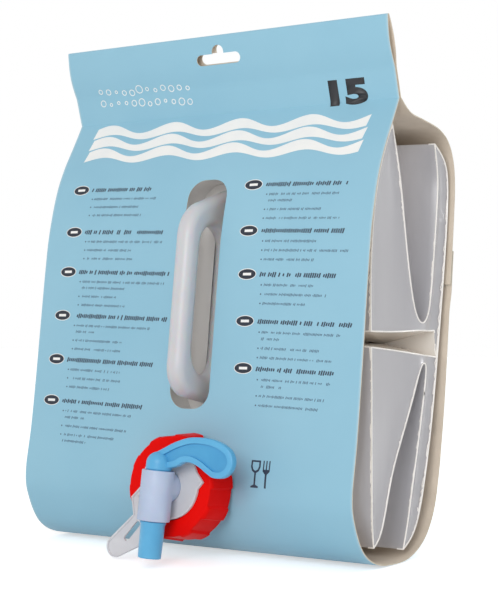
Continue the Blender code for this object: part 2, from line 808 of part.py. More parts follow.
stub = STUB / 2
tap_housing = turned("tap_housing", [
    (0, barrel_axis_out), (stub, barrel_axis_out), (stub, flange_front),
    (FLANGE_OUTER / 2, flange_front),
    (FLANGE_OUTER / 2, flange_back), (SPIGOT_OUTER / 2, flange_back),
    (SPIGOT_OUTER / 2, flange_back - SPIGOT_LENGTH), (0, flange_back - SPIGOT_LENGTH)],
    material=tap_clear)
put_in(tap_housing, tap_frame)
join(tap_housing, rod("barrel", BARREL_OUTER / 2, BARREL_TOP, -BARREL_BOTTOM, barrel_frame))
spigot_cutter = rod("spigot_cutter", SPIGOT_BORE / 2, flange_back + FIT,
                    flange_back - SPIGOT_LENGTH - OVERRUN, tap_frame)
inlet_cutter = rod("inlet_cutter", INLET_BORE / 2, barrel_axis_out,
                   flange_back - OVERRUN, tap_frame)
barrel_cutter = rod("barrel_cutter", BARREL_BORE / 2, BARREL_TOP + OVERRUN,
                    -BARREL_BOTTOM - OVERRUN, barrel_frame)
for tool in (spigot_cutter, inlet_cutter, barrel_cutter):
    cut(tap_housing, tool)
settle(tap_housing)
shade(tap_housing)

# The key: dome, hollow plug and spout, turned about the barrel's axis
plug = BARREL_BORE / 2 - FIT
dome_base = BARREL_TOP + FIT
dome = KEY_DOME / 2
bore = SPOUT_BORE / 2
ledge = -BARREL_BOTTOM - FIT
dome_straight = KEY_DOME_HEIGHT * KEY_DOME_STRAIGHT_SHARE
dome_round = KEY_DOME_HEIGHT - dome_straight
dome_turns = [math.pi / 2 * i / KEY_DOME_STEPS for i in range(KEY_DOME_STEPS + 1)]
dome_profile = [(dome * math.sin(turn), dome_base + dome_straight + dome_round * math.cos(turn))
                for turn in dome_turns]
tap_key = turned("tap_key", dome_profile + [
    (dome, dome_base), (plug, dome_base), (plug, ledge), (plug + SNAP_BEAD, ledge - FIT),
    (plug + SNAP_BEAD, ledge - 2 * SNAP_BEAD), (plug, ledge - 4 * SNAP_BEAD),
    (plug - FIT, -SPOUT_DROP), (bore, -SPOUT_DROP), (bore, BORE_TOP),
    (0, BORE_TOP)], material=key_blue)
put_in(tap_key, barrel_frame)


def lever_outline(inset):
    """Comma shape of the lever, from the dome out to its round end, as smooth stations."""
    shares = [(-0.02, 0.40), (-0.06, 0.58), (0.08, 0.74), (0.24, 0.88), (0.42, 0.98),
              (0.62, 1.00), (0.80, 0.95), (0.94, 0.83), (1.00, 0.64), (0.97, 0.44),
              (0.88, 0.32), (0.76, 0.30), (0.66, 0.37), (0.56, 0.46), (0.44, 0.52),
              (0.34, 0.50), (0.26, 0.42), (0.12, 0.36)]
    stations = [Vector((x * LEVER_REACH, y * LEVER_HEIGHT)) for x, y in shares]
    path = smooth_path(stations[-1:] + stations + stations[:2], 4)[:-1]
    points = []
    for i, place in enumerate(path):
        along = path[(i + 1) % len(path)] - path[i - 1]
        side = Vector((along.y, -along.x)).normalized()
        points.append(place + side * inset)
    return points


def lever_body():
    """Flat lever with a raised rim, upright in the plane of the barrel's axis."""
    made = extruded("lever", [lever_outline(0)], LEVER_THICKNESS, cutters)
    web_face = LEVER_WEB / 2
    recess_height = LEVER_THICKNESS / 2 - web_face + OVERRUN
    recesses = []
    for side in (-1, 1):
        recess = extruded("lever_recess", [lever_outline(LEVER_RIM)], recess_height,
                          cutters)
        recess.data.transform(Matrix.Translation((0, 0, side * (web_face + recess_height / 2))))
        recesses.append(recess)
        cut(made, recess)
    settle(made)
    for recess in recesses:
        bpy.data.objects.remove(recess, do_unlink=True)
    made.data.transform(Matrix.Rotation(math.pi / 2, 4, "X"))
    put_in(made, barrel_frame)
    return made


port_cutter = rod("port_cutter", PORT_BORE / 2, 0, -BARREL_OUTER, barrel_frame, steps=24)
settle(port_cutter)
port_cutter.data.transform(Matrix.Rotation(math.pi / 2, 4, "Y"))
cut(tap_key, port_cutter)
settle(tap_key)
join(tap_key, lever_body())
shade(tap_key)


# The strap: a flat ring round the stub, two ears, and a slotted tongue
def polar(reach, angle):
    return (reach * math.cos(angle), reach * math.sin(angle))


def strap_outline():
    """Ring, both ears and tongue in one outline, drawn round from the right ear."""
    disc = STRAP_DISC / 2
    tip = STRAP_TIP / 2
    middle = polar(-STRAP_DISC_SHIFT, STRAP_ANGLE)
    points = [polar(STRAP_EAR, STRAP_EAR_ANGLE)]
    points += arc(middle, disc, STRAP_EAR_ANGLE + STRAP_EAR_SPREAD,
                  HOLED_EAR_ANGLE - HOLED_EAR_SPREAD, 24)
    points += [polar(HOLED_EAR, HOLED_EAR_ANGLE), polar(STRAP_ROOT, STRAP_ROOT_ANGLE)]
    points += arc(polar(STRAP_REACH - tip, STRAP_ANGLE), tip, STRAP_ANGLE - math.pi / 2,
                  STRAP_ANGLE + math.pi / 2 - STRAP_TAPER, 12)
    points += [polar(STRAP_HEEL, STRAP_HEEL_ANGLE)]
    points += arc(middle, disc, STRAP_FOOT_ANGLE,
                  2 * math.pi + STRAP_EAR_ANGLE - STRAP_EAR_SPREAD, 16)
    return points


def strap_slot():
    """Long slot in the tongue, drawn along its own line out from the neck."""
    middle = STRAP_SLOT_REACH - STRAP_SLOT_LENGTH / 2
    oblong = rounded_oblong(STRAP_SLOT_LENGTH, STRAP_SLOT, STRAP_SLOT / 2 - FIT, 4)
    cosine = math.cos(STRAP_SLOT_ANGLE)
    sine = math.sin(STRAP_SLOT_ANGLE)
    return [((middle + x) * cosine - y * sine, (middle + x) * sine + y * cosine)
            for x, y in oblong]


def strap_ear_hole():
    centre = polar(STRAP_HOLE_REACH, HOLED_EAR_ANGLE + HOLED_EAR_SPREAD / 3)
    return [(centre[0] + x, centre[1] + y) for x, y in circle(STRAP_HOLE / 2, 12)]


retaining_strap = extruded("retaining_strap",
                           [strap_outline(), circle(stub + FIT, 32), strap_slot(),
                            strap_ear_hole()], STRAP_THICKNESS, material=tap_clear)
strap_place = nut_end + FIT + STRAP_THICKNESS / 2
retaining_strap.data.transform(Matrix.Translation((0, 0, strap_place)))
put_in(retaining_strap, neck_frame)
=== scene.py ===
import bisect
import math
import random

import bmesh
import bpy
from mathutils import Matrix, Vector, kdtree, noise


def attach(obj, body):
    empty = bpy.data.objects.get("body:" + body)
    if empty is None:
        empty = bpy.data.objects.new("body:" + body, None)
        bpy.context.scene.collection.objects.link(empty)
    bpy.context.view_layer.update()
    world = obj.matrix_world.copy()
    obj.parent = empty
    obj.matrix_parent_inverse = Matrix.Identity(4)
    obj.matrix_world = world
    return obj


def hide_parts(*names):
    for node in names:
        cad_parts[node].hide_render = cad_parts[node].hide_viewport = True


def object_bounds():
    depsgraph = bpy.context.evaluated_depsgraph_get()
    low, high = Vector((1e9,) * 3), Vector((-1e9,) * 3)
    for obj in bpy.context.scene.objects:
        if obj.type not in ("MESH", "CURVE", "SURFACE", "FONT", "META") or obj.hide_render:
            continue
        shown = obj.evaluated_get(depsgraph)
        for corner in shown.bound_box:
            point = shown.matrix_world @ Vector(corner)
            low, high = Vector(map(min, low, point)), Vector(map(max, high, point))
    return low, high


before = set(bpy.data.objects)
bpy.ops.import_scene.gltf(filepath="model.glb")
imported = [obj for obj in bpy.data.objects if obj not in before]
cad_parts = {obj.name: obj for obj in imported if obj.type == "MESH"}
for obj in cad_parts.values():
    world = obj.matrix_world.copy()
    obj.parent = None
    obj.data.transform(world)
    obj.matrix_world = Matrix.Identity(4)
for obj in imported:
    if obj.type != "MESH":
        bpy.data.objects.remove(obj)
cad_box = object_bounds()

# Printed sleeve
# One strip of folding boxboard, printed blue on its outer side and bare brown-grey inside,
# wrapped once round the can, folded at the header, pinched under it and lapped at the back.
MM = 0.001
CARD_WIDTH = 250 * MM
CARD_HEIGHT = 328 * MM
CARD_DEPTH = 132 * MM
BOARD = 0.7 * MM
HEADER_LENGTH = 49.7 * MM
HEADER_LEAN = math.radians(17)
HEADER_BOW = 4.2 * MM
HEADER_BOW_END = 0.62
SEAM_GAP = 1.0 * MM
SLOT_DROP = 13.8 * MM
LAP_LENGTH = 22 * MM
LAP_RAMP = 18 * MM
RUBBED_EDGE = 1.6 * MM
FRONT_STATIONS = [(0.034, 0.195), (-0.038, 0.244), (-0.098, 0.299), (-0.152, 0.381),
                  (-0.184, 0.463), (-0.231, 0.610), (-0.282, 0.762), (-0.326, 0.863),
                  (-0.303, 0.915), (-0.227, 0.966), (-0.100, 0.993)]
BACK_STATIONS = [(0.085, 1.000), (0.227, 0.993), (0.356, 0.966), (0.445, 0.918),
                 (0.494, 0.854), (0.527, 0.787), (0.561, 0.701), (0.597, 0.579),
                 (0.632, 0.457), (0.661, 0.351), (0.671, 0.290), (0.655, 0.244),
                 (0.600, 0.208), (0.500, 0.187), (0.341, 0.176), (0.215, 0.168)]

header_down = Vector((math.sin(HEADER_LEAN), -math.cos(HEADER_LEAN)))
header_back = Vector((math.cos(HEADER_LEAN), math.sin(HEADER_LEAN)))
top_fold = -header_down * SLOT_DROP


def side_view(depth_share, height_share):
    """Place as (y, z) at a share of the sleeve's depth and height, from the top fold."""
    return top_fold + Vector((depth_share * CARD_DEPTH, -height_share * CARD_HEIGHT))


def half_gap(share):
    """Half the gap between the two header layers, which bow apart above the pinch."""
    bow = math.sin(math.pi * share / HEADER_BOW_END) if share < HEADER_BOW_END else 0
    return (BOARD + SEAM_GAP + HEADER_BOW * bow) / 2


def header_layer(side, steps=24):
    places = []
    for i in range(steps + 1):
        share = i / steps
        middle = top_fold + header_down * (HEADER_LENGTH * share)
        places.append(middle + header_back * (side * half_gap(share)))
    return places


def smooth_path(stations, steps):
    """Points on a smooth curve through stations; the first and last only steer it."""
    points = []
    for before, start, end, after in zip(stations, stations[1:], stations[2:], stations[3:]):
        for i in range(steps):
            t = i / steps
            points.append(0.5 * (2 * start + (end - before) * t
                                 + (2 * before - 5 * start + 4 * end - after) * t ** 2
                                 + (3 * start - before - 3 * end + after) * t ** 3))
    points.append(stations[-2])
    return points


def sleeve_loop():
    """Side view of the board's middle: down the front, up the back, over the fold."""
    front = header_layer(-1)
    back = header_layer(1)
    stations = [side_view(*share) for share in FRONT_STATIONS + BACK_STATIONS]
    panel = smooth_path([front[-2], front[-1]] + stations + [back[-1], back[-2]], 8)
    turns = [math.pi * i / 12 for i in range(1, 12)]
    fold = [top_fold + half_gap(0) * (header_back * math.cos(turn) - header_down * math.sin(turn))
            for turn in turns]
    return front[:-1] + panel + back[-2::-1] + fold


loop = sleeve_loop()
loop_marks = [0.0]
for here, there in zip(loop, loop[1:] + loop[:1]):
    loop_marks.append(loop_marks[-1] + (there - here).length)
loop_total = loop_marks[-1]


def loop_outward(index):
    along = (loop[(index + 1) % len(loop)] - loop[index - 1]).normalized()
    return Vector((along.y, -along.x))


def on_sleeve(x, mark, proud):
    """Place at x and a distance round the loop, standing proud of the board's middle."""
    mark = mark % loop_total
    low = bisect.bisect_right(loop_marks, mark, 0, len(loop)) - 1
    after = (low + 1) % len(loop)
    share = (mark - loop_marks[low]) / (loop_marks[low + 1] - loop_marks[low])
    outward = loop_outward(low).lerp(loop_outward(after), share).normalized()
    place = loop[low].lerp(loop[after], share) + outward * proud
    return Vector((x, place.x, place.y))


def srgb(*levels):
    """Linear colour of the levels, 0 to 255, that a screen shows."""
    shares = [level / 255 for level in levels]
    return tuple(s / 12.92 if s < 0.04 else ((s + 0.055) / 1.055) ** 2.4 for s in shares)


def add_node(tree, kind, values=None, **settings):
    """New node with its settings, then values for its inputs by name or number."""
    made = tree.nodes.new(kind)
    for setting, value in settings.items():
        setattr(made, setting, value)
    for label, value in (values or {}).items():
        made.inputs[label].default_value = value
    return made


def wire(tree, *wires):
    """Link sockets, each wire given as node, output, node, input."""
    for start, output, end, into in wires:
        tree.links.new(start.outputs[output], end.inputs[into])


def mottle_group():
    """Cloudy change of colour, fine relief and uneven gloss, for board, film and mouldings."""
    group = bpy.data.node_groups.new("mottle", "ShaderNodeTree")
    for label, kind, value in (("Colour", "Color", (0.8, 0.8, 0.8, 1)),
                               ("Shade", "Color", (0.5, 0.5, 0.5, 1)), ("Scale", "Float", 30),
                               ("Contrast", "Float", 0.5), ("Roughness", "Float", 0.4)):
        socket = group.interface.new_socket(label, socket_type="NodeSocket" + kind)
        socket.default_value = value
    for label, kind in (("Colour", "Color"), ("Roughness", "Float"), ("Height", "Float"),
                        ("Cloud", "Float")):
        group.interface.new_socket(label, in_out="OUTPUT", socket_type="NodeSocket" + kind)
    start = add_node(group, "NodeGroupInput")
    end = add_node(group, "NodeGroupOutput")
    place = add_node(group, "ShaderNodeTexCoord")
    cloud = add_node(group, "ShaderNodeTexNoise", {"Detail": 5})
    spread = add_node(group, "ShaderNodeMapRange", {"From Min": 0.35, "From Max": 0.68})
    weight = add_node(group, "ShaderNodeMath", operation="MULTIPLY")
    tint = add_node(group, "ShaderNodeMix", data_type="RGBA")
    finer = add_node(group, "ShaderNodeMath", {1: 14}, operation="MULTIPLY")
    grain = add_node(group, "ShaderNodeTexNoise", {"Detail": 3})
    gloss = add_node(group, "ShaderNodeMath", {1: 0.12}, operation="MULTIPLY_ADD")
    wire(group, (place, "Object", cloud, "Vector"), (place, "Object", grain, "Vector"),
         (start, "Scale", cloud, "Scale"), (start, "Scale", finer, 0), (finer, 0, grain, "Scale"),
         (cloud, "Fac", spread, "Value"), (spread, 0, weight, 0), (start, "Contrast", weight, 1),
         (weight, 0, tint, "Factor"), (start, "Colour", tint, "A"), (start, "Shade", tint, "B"),
         (spread, 0, gloss, 0), (start, "Roughness", gloss, 2), (tint, "Result", end, "Colour"),
         (gloss, 0, end, "Roughness"), (grain, "Fac", end, "Height"), (spread, 0, end, "Cloud"))
    return group


mottle = mottle_group()


def finish(name, colour, shade, scale, contrast, roughness, relief):
    """Principled material with mottled colour, uneven gloss and a fine relief."""
    made = bpy.data.materials.new(name)
    made.use_nodes = True
    tree = made.node_tree
    look = add_node(tree, "ShaderNodeGroup", {
        "Colour": (*colour, 1), "Shade": (*shade, 1), "Scale": scale, "Contrast": contrast,
        "Roughness": roughness}, node_tree=mottle, name="look")
    bump = add_node(tree, "ShaderNodeBump", {"Distance": relief}, name="fine_relief")
    shader = tree.nodes["Principled BSDF"]
    wire(tree, (look, "Colour", shader, "Base Color"), (look, "Roughness", shader, "Roughness"),
         (look, "Height", bump, "Height"), (bump, "Normal", shader, "Normal"))
    return made


def tune(material, **values):
    """Set values of a material's shader, each named with _ for a space."""
    shader = material.node_tree.nodes["Principled BSDF"]
    for label, value in values.items():
        shader.inputs[label.replace("_", " ")].default_value = value


def blend_sideways(material, start, end, colour, patchy=False):
    """Blend a material into a colour as the distance from x = 0 goes from start to end."""
    tree = material.node_tree
    look = tree.nodes["look"]
    place = add_node(tree, "ShaderNodeTexCoord")
    axes = add_node(tree, "ShaderNodeSeparateXYZ")
    reach = add_node(tree, "ShaderNodeMath", operation="ABSOLUTE")
    share = add_node(tree, "ShaderNodeMapRange", {"From Min": start, "From Max": end})
    weight = add_node(tree, "ShaderNodeMath", {1: 1}, operation="MULTIPLY")
    mixed = add_node(tree, "ShaderNodeMix", {"B": (*colour, 1)}, data_type="RGBA")
    wire(tree, (place, "Object", axes, 0), (axes, "X", reach, 0), (reach, 0, share, "Value"),
         (share, 0, weight, 0), (weight, 0, mixed, "Factor"), (look, "Colour", mixed, "A"),
         (mixed, "Result", tree.nodes["Principled BSDF"], "Base Color"))
    if patchy:
        wire(tree, (look, "Cloud", weight, 1))


board_blue = finish("printed_blue", srgb(151, 199, 219), srgb(142, 192, 214), 9, 0.8,
                    0.42, 0.00002)
blend_sideways(board_blue, CARD_WIDTH / 2 - RUBBED_EDGE, CARD_WIDTH / 2, srgb(205, 222, 226), True)
board_inside = finish("bare_board", srgb(234, 220, 202), srgb(218, 204, 186), 60, 0.7,
                      0.75, 0.00008)
board_edge = finish("cut_board", srgb(226, 216, 196), srgb(196, 184, 162), 160, 0.8,
                    0.8, 0.00010)


def add_piece(name, mesh, *materials):
    piece = bpy.data.objects.new(name, mesh)
    bpy.context.scene.collection.objects.link(piece)
    for material in materials:
        piece.data.materials.append(material)
    return piece


def final_mesh(thing):
    """Mesh of an object as its modifiers or its curve leave it."""
    bpy.context.view_layer.update()
    graph = bpy.context.evaluated_depsgraph_get()
    return bpy.data.meshes.new_from_object(thing.evaluated_get(graph))


def settled(piece):
    """Put the result of a piece's modifiers into its mesh."""
    mesh = final_mesh(piece)
    piece.modifiers.clear()
    piece.data = mesh


def taken_mesh(thing):
    """Mesh of an object that is only needed for it."""
    mesh = final_mesh(thing)
    bpy.data.objects.remove(thing, do_unlink=True)
    return mesh


def mesh_from(body, name):
    """Mesh of a finished bmesh, which is then freed."""
    mesh = bpy.data.meshes.new(name)
    body.to_mesh(mesh)
    body.free()
    return mesh


def smooth(piece, angle=35):
    piece.data.shade_smooth()
    piece.data.set_sharp_from_angle(angle=math.radians(angle))


def lap_step(mark, lap_end):
    """How far the strip's last stretch steps outward, over its own start."""
    share = min(max((mark - (lap_end - LAP_RAMP)) / (LAP_RAMP * 0.8), 0.0), 1.0)
    return (BOARD + SEAM_GAP) * share ** 2 * (3 - 2 * share)


def board_strip():
    """The strip as one closed body: printed face, bare face and cut edges."""
    lap_start = next(mark for mark, place in zip(loop_marks, loop)
                     if mark > loop_total / 2 and place.y > side_view(0, 0.5).y)
    lap_end = lap_start + loop_total
    marks = [mark + loop_total * turn for turn in range(3) for mark in loop_marks[:-1]]
    marks = [lap_start] + [mark for mark in marks
                           if lap_start + MM / 2 < mark < lap_end + LAP_LENGTH - MM / 2]
    marks.append(lap_end + LAP_LENGTH)
    strip = bmesh.new()
    rows = []
    for mark in marks:
        step = lap_step(mark, lap_end)
        places = [on_sleeve(side * CARD_WIDTH / 2, mark, step + face * BOARD / 2)
                  for face, side in ((1, -1), (1, 1), (-1, 1), (-1, -1))]
        rows.append([strip.verts.new(place) for place in places])
    for row, below in zip(rows, rows[1:]):
        for i, material in enumerate((0, 2, 1, 2)):
            j = (i + 1) % 4
            strip.faces.new((row[j], row[i], below[i], below[j])).material_index = material
    strip.faces.new(rows[0]).material_index = 2
    strip.faces.new(rows[-1][::-1]).material_index = 2
    bmesh.ops.recalc_face_normals(strip, faces=strip.faces)
    return mesh_from(strip, "printed_sleeve")


def leaning_place(x, y, z, lean):
    """Matrix of a place in front of the sleeve whose Z leans up from straight out."""
    out = Vector((0, -math.cos(lean), math.sin(lean)))
    right = Vector((1, 0, 0))
    basis = Matrix((right, out.cross(right), out)).transposed().to_4x4()
    return Matrix.Translation((x, y, z)) @ basis


def arc(centre, radius, start, end, steps):
    return [(centre[0] + radius * math.cos(start + (end - start) * i / steps),
             centre[1] + radius * math.sin(start + (end - start) * i / steps))
            for i in range(steps + 1)]


def rounded_oblong(width, length, radius, steps=12):
    half_x = width / 2 - radius
    half_y = length / 2 - radius
    points = []
    for turns, (x, y) in enumerate(((1, 1), (-1, 1), (-1, -1), (1, -1))):
        start = turns * math.pi / 2
        points += arc((x * half_x, y * half_y), radius, start, start + math.pi / 2, steps)
    return points


def extruded(name, outlines, low, high, place):
    """Mesh of closed outlines (the first outer, the others holes) raised from low to high."""
    curve = bpy.data.curves.new(name, "CURVE")
    curve.dimensions = "2D"
    curve.fill_mode = "BOTH"
    curve.extrude = (high - low) / 2
    for outline in outlines:
        spline = curve.splines.new("POLY")
        spline.points.add(len(outline) - 1)
        for point, spot in zip(spline.points, outline):
            point.co = (spot[0], spot[1], 0, 1)
        spline.use_cyclic_u = True
    welded = bmesh.new()
    welded.from_mesh(taken_mesh(add_piece(name, curve)))
    bmesh.ops.remove_doubles(welded, verts=welded.verts, dist=MM / 200)
    bmesh.ops.recalc_face_normals(welded, faces=welded.faces)
    welded.transform(place @ Matrix.Translation((0, 0, (low + high) / 2)))
    return mesh_from(welded, name)


def cut_with(piece, mesh, *materials, operation="DIFFERENCE"):
    """Cut a mesh from a piece, or join it; the cut faces carry the mesh's materials."""
    tool = add_piece("tool", mesh, *materials)
    step = piece.modifiers.new("cut", "BOOLEAN")
    step.operation = operation
    step.object = tool
    step.solver = "EXACT"
    step.material_mode = "TRANSFER"
    settled(piece)
    bpy.data.objects.remove(tool, do_unlink=True)


SLOT_WIDTH = 34 * MM
SLOT_HEIGHT = 7 * MM
SLOT_BUMP = 9 * MM
SLOT_RISE = 5.5 * MM
CUTOUT_WIDTH = 30 * MM
CUTOUT_LENGTH = 146 * MM
CUTOUT_RADIUS = 12 * MM
PANEL_LEAN = math.radians(7.5)
NECK_OUTER = 52 * MM
NECK_HOLE = NECK_OUTER + 1.0 * MM
TAP_LEAN = math.radians(6)
SLOT_CUT = 12 * MM
CUTOUT_CUT = 20 * MM
NECK_CUT = 17 * MM

HANDLE_ROOT = (3 * MM, -29.735 * MM, -151.803 * MM)
NECK_SEAT = (10.2 * MM, -47.935 * MM, -271.403 * MM)
handle_place = leaning_place(*HANDLE_ROOT, PANEL_LEAN)
neck_place = leaning_place(*NECK_SEAT, TAP_LEAN)


def slot_outline():
    """Hanging slot with a rounded bump in the middle of its upper side."""
    end = SLOT_HEIGHT / 2
    reach = SLOT_WIDTH / 2 - end
    bump = SLOT_BUMP / 2
    quarter = math.pi / 2
    return (arc((reach, 0), end, -quarter, quarter, 12) + [(bump, end)]
            + arc((0, end + SLOT_RISE - bump), bump, 0, math.pi, 16) + [(-bump, end)]
            + arc((-reach, 0), end, quarter, 3 * quarter, 12))


def circle(radius, steps):
    return arc((0, 0), radius, 0, 2 * math.pi * (steps - 1) / steps, steps - 1)


printed_sleeve = add_piece("printed_sleeve", board_strip(), board_blue, board_inside, board_edge)
slot_place = leaning_place(0, 0, 0, -HEADER_LEAN)
cutout = rounded_oblong(CUTOUT_WIDTH, CUTOUT_LENGTH, CUTOUT_RADIUS)
for outline, reach, place in ((slot_outline(), SLOT_CUT, slot_place),
                              (cutout, CUTOUT_CUT, handle_place),
                              (circle(NECK_HOLE / 2, 96), NECK_CUT, neck_place)):
    cut_with(printed_sleeve, extruded("hole", [outline], -reach, reach, place), board_edge)
smooth(printed_sleeve)
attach(printed_sleeve, "carrier")
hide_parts("display_card")

# Print
# Inks on the sleeve's front: white waves under two rows of bubbles, a plain number for the
# litres, a cup and fork, and two columns of ovals with rows of small strokes set like type.
INK = 0.05 * MM
INK_GAP = 0.03 * MM
PRINT_SLOPE = 0.032
TYPE_ROWS = 6.5 * MM
TYPE_STEP = 5.7 * MM
TYPE_CONTINUED = 4.1 * MM
INDENT = 10 * MM
HEAD_LIFT = 0.3
BULLET_INDENT = 1.0
LINE_INDENT = 3.2
OVAL_WIDTH = 12.6 * MM
OVAL_HEIGHT = 6.2 * MM
OVAL_RIM = 0.9 * MM
OVAL_GAP = 0.04 * MM
BAR_HALF = (3 * MM, 0.8 * MM)
WAVE_TOPS = (62.0, 71.6, 81.2)
WAVE_ENDS = (-108 * MM, 109 * MM)
WAVE_THICKNESS = 6.6 * MM
WAVE_SWELL = 3.0 * MM
WAVE_PITCH = 54 * MM
WAVE_SLANT = 1.5 * MM
CREST_SHARE = 0.35
CREST_LEAD = 0.9
NUMBER_SIZE = (27 * MM, 17 * MM)
NUMBER_PLACE = (77 * MM, 52.4 * MM)
NUMBER_WEIGHT = 0.055
BUBBLES = 12
BUBBLE_START = -102
BUBBLE_STEP = 6.6
BUBBLE_ROWS = (31.5, 40)
BUBBLE_RADII = (1.2, 3.0)
BUBBLE_SCATTER = 1.2
BUBBLE_LINE = 1.1 * MM
MARK_PLACE = (61.5, 277.4)
MARK_SCALE = 1.15
LEFT_ITEMS = [((-103.2, 104.2), -42.7, ((0, -38.8), (0, -52.0), (0, -48.7))),
              ((-103.0, 133.7), -28.9, ((0, -28.4), (0, -53.1), (0, -49.6))),
              ((-104.4, 160.6), -20.6, ((0, -23.9), (1, -55.9), (0, -62.3), (0, -53.6))),
              ((-106.2, 189.8), -19.6, ((0, -31.7), (1, -78.2), (0, -54.5), (0, -55.1))),
              ((-108.1, 219.0), -28.1, ((0, -54.0), (0, -53.2), (0, -61.7))),
              ((-109.3, 246.3), -33.8, ((0, -41.9), (1, -79.6), (0, -44.5), (0, -54.1),
                                        (1, -76.9)))]
RIGHT_ITEMS = [((37.1, 107.2), 104.6, ((0, 100.6), (1, 66.8), (0, 88.4), (0, 102.2))),
               ((38.5, 137.1), 106.2, ((0, 87.6), (0, 110.3), (0, 86.8))),
               ((40.0, 164.3), 102.7, ((0, 88.8), (0, 97.1), (0, 82.8))),
               ((40.9, 193.3), 115.9, ((0, 108.7), (1, 66.2), (0, 94.8), (0, 103.8))),
               ((42.1, 222.2), 105.7, ((0, 104.9), (1, 70.1), (0, 100.5), (0, 96.6)))]


BEND_STEP = 3 * MM


def inked(name, flat, proud, material):
    """Lay a flat (x, distance down the front) mesh on the front panel as a thin ink."""
    laid = bmesh.new()
    laid.from_mesh(flat)
    bmesh.ops.triangulate(laid, faces=laid.faces)
    rows = [vert.co.y for vert in laid.verts]
    for i in range(math.floor(min(rows) / BEND_STEP) + 1, math.ceil(max(rows) / BEND_STEP)):
        bmesh.ops.bisect_plane(laid, geom=laid.verts[:] + laid.edges[:] + laid.faces[:],
                               plane_co=(0, i * BEND_STEP, 0), plane_no=(0, 1, 0))
    bmesh.ops.remove_doubles(laid, verts=laid.verts, dist=MM / 500)
    for vert in laid.verts:
        vert.co = on_sleeve(vert.co.x, vert.co.y, BOARD / 2 + INK_GAP + proud)
    laid.normal_update()
    for face in laid.faces:
        if face.normal.y > 0:
            face.normal_flip()
    piece = add_piece(name, mesh_from(laid, name), material)
    body = piece.modifiers.new("ink", "SOLIDIFY")
    body.thickness = INK
    body.offset = 1
    settled(piece)
    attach(piece, "carrier")


def bridge(body, upper, lower):
    """Quads between two closed loops of vertices."""
    for i, corner in enumerate(upper):
        j = (i + 1) % len(upper)
        body.faces.new((corner, upper[j], lower[j], lower[i]))


def flat_mesh(name, outlines, holes=()):
    """Flat mesh of outlines, either filled or with a hole each, point for point."""
    flat = bmesh.new()
    for i, outline in enumerate(outlines):
        rim = [flat.verts.new((x, y, 0)) for x, y in outline]
        if holes:
            bridge(flat, rim, [flat.verts.new((x, y, 0)) for x, y in holes[i]])
        else:
            flat.faces.new(rim)
    return mesh_from(flat, name)


def oval(x, y, width, height, steps=32):
    return [(x + width / 2 * math.cos(2 * math.pi * i / steps),
             y + height / 2 * math.sin(2 * math.pi * i / steps)) for i in range(steps)]


def wave_band(top):
    """Long wavy band with slanted ends, thicker on its crests."""
    steps = 120
    left, right = WAVE_ENDS
    upper = []
    lower = []
    for i in range(steps + 1):
        x = left + (right - left) * i / steps
        phase = 2 * math.pi * (x - left) / WAVE_PITCH
        lift = WAVE_SWELL * math.sin(phase)
        body = WAVE_THICKNESS * (1 + CREST_SHARE * math.sin(phase + CREST_LEAD)) / 2
        middle = top + PRINT_SLOPE * x - lift
        upper.append((x, middle - body))
        lower.append((x - WAVE_SLANT, middle + body))
    return upper + lower[::-1]


ink_white = finish("white_ink", srgb(250, 248, 244), srgb(238, 240, 240), 60, 0.6, 0.38,
                   0.00001)
ink_dark = finish("dark_ink", srgb(38, 48, 66), srgb(58, 72, 92), 200, 0.6, 0.4, 0.00001)
ink_black = finish("black_ink", srgb(22, 22, 26), srgb(40, 42, 48), 120, 0.6, 0.4, 0.00001)
ink_navy = finish("navy_ink", srgb(22, 30, 44), srgb(34, 44, 60), 120, 0.6, 0.4, 0.00001)

waves = [wave_band(top * MM) for top in WAVE_TOPS]
inked("header_waves", flat_mesh("waves", waves), 0, ink_white)


def litre_number():
    """The number of litres in a heavy face, as a flat mesh."""
    curve = bpy.data.curves.new("litres", "FONT")
    curve.body = "15"
    curve.offset = NUMBER_WEIGHT
    curve.resolution_u = 6
    mesh = taken_mesh(add_piece("litres", curve))
    xs = [vert.co.x for vert in mesh.vertices]
    ys = [vert.co.y for vert in mesh.vertices]
    width = NUMBER_SIZE[0] / (max(xs) - min(xs))
    height = NUMBER_SIZE[1] / (max(ys) - min(ys))
    for vert in mesh.vertices:
        vert.co = (NUMBER_PLACE[0] + (vert.co.x - min(xs)) * width,
                   NUMBER_PLACE[1] - (vert.co.y - min(ys)) * height, 0)
    return mesh


inked("litre_number", litre_number(), 0, ink_black)

bubbles = random.Random(7)
rims = []
holes = []
for i in range(BUBBLES):
    x = (BUBBLE_START + BUBBLE_STEP * i) * MM
    for row in BUBBLE_ROWS:
        size = 2 * bubbles.uniform(*BUBBLE_RADII) * MM
        y = (row + bubbles.uniform(-BUBBLE_SCATTER, BUBBLE_SCATTER)) * MM + PRINT_SLOPE * x
        rims.append(oval(x, y, size, size, 20))
        holes.append(oval(x, y, size - BUBBLE_LINE, size - BUBBLE_LINE, 20))
inked("bubble_row", flat_mesh("bubbles", rims, holes), 0, ink_white)

items = LEFT_ITEMS + RIGHT_ITEMS
spots = [(item[0][0] * MM, item[0][1] * MM) for item in items]


def item_ovals(extra):
    return [oval(x, y, OVAL_WIDTH + extra, OVAL_HEIGHT + extra) for x, y in spots]


bar = [(side * BAR_HALF[0], end * BAR_HALF[1])
       for side, end in ((-1, -1), (1, -1), (1, 1), (-1, 1))]
inked("item_ovals", flat_mesh("ovals", item_ovals(0)), 0, ink_navy)
inked("oval_rims", flat_mesh("oval_rims", item_ovals(OVAL_RIM), item_ovals(OVAL_GAP)), 0, ink_white)
inked("oval_bars", flat_mesh("oval_bars", [[(x + dx, y + dy) for dx, dy in bar]
                                           for x, y in spots]), INK, ink_white)


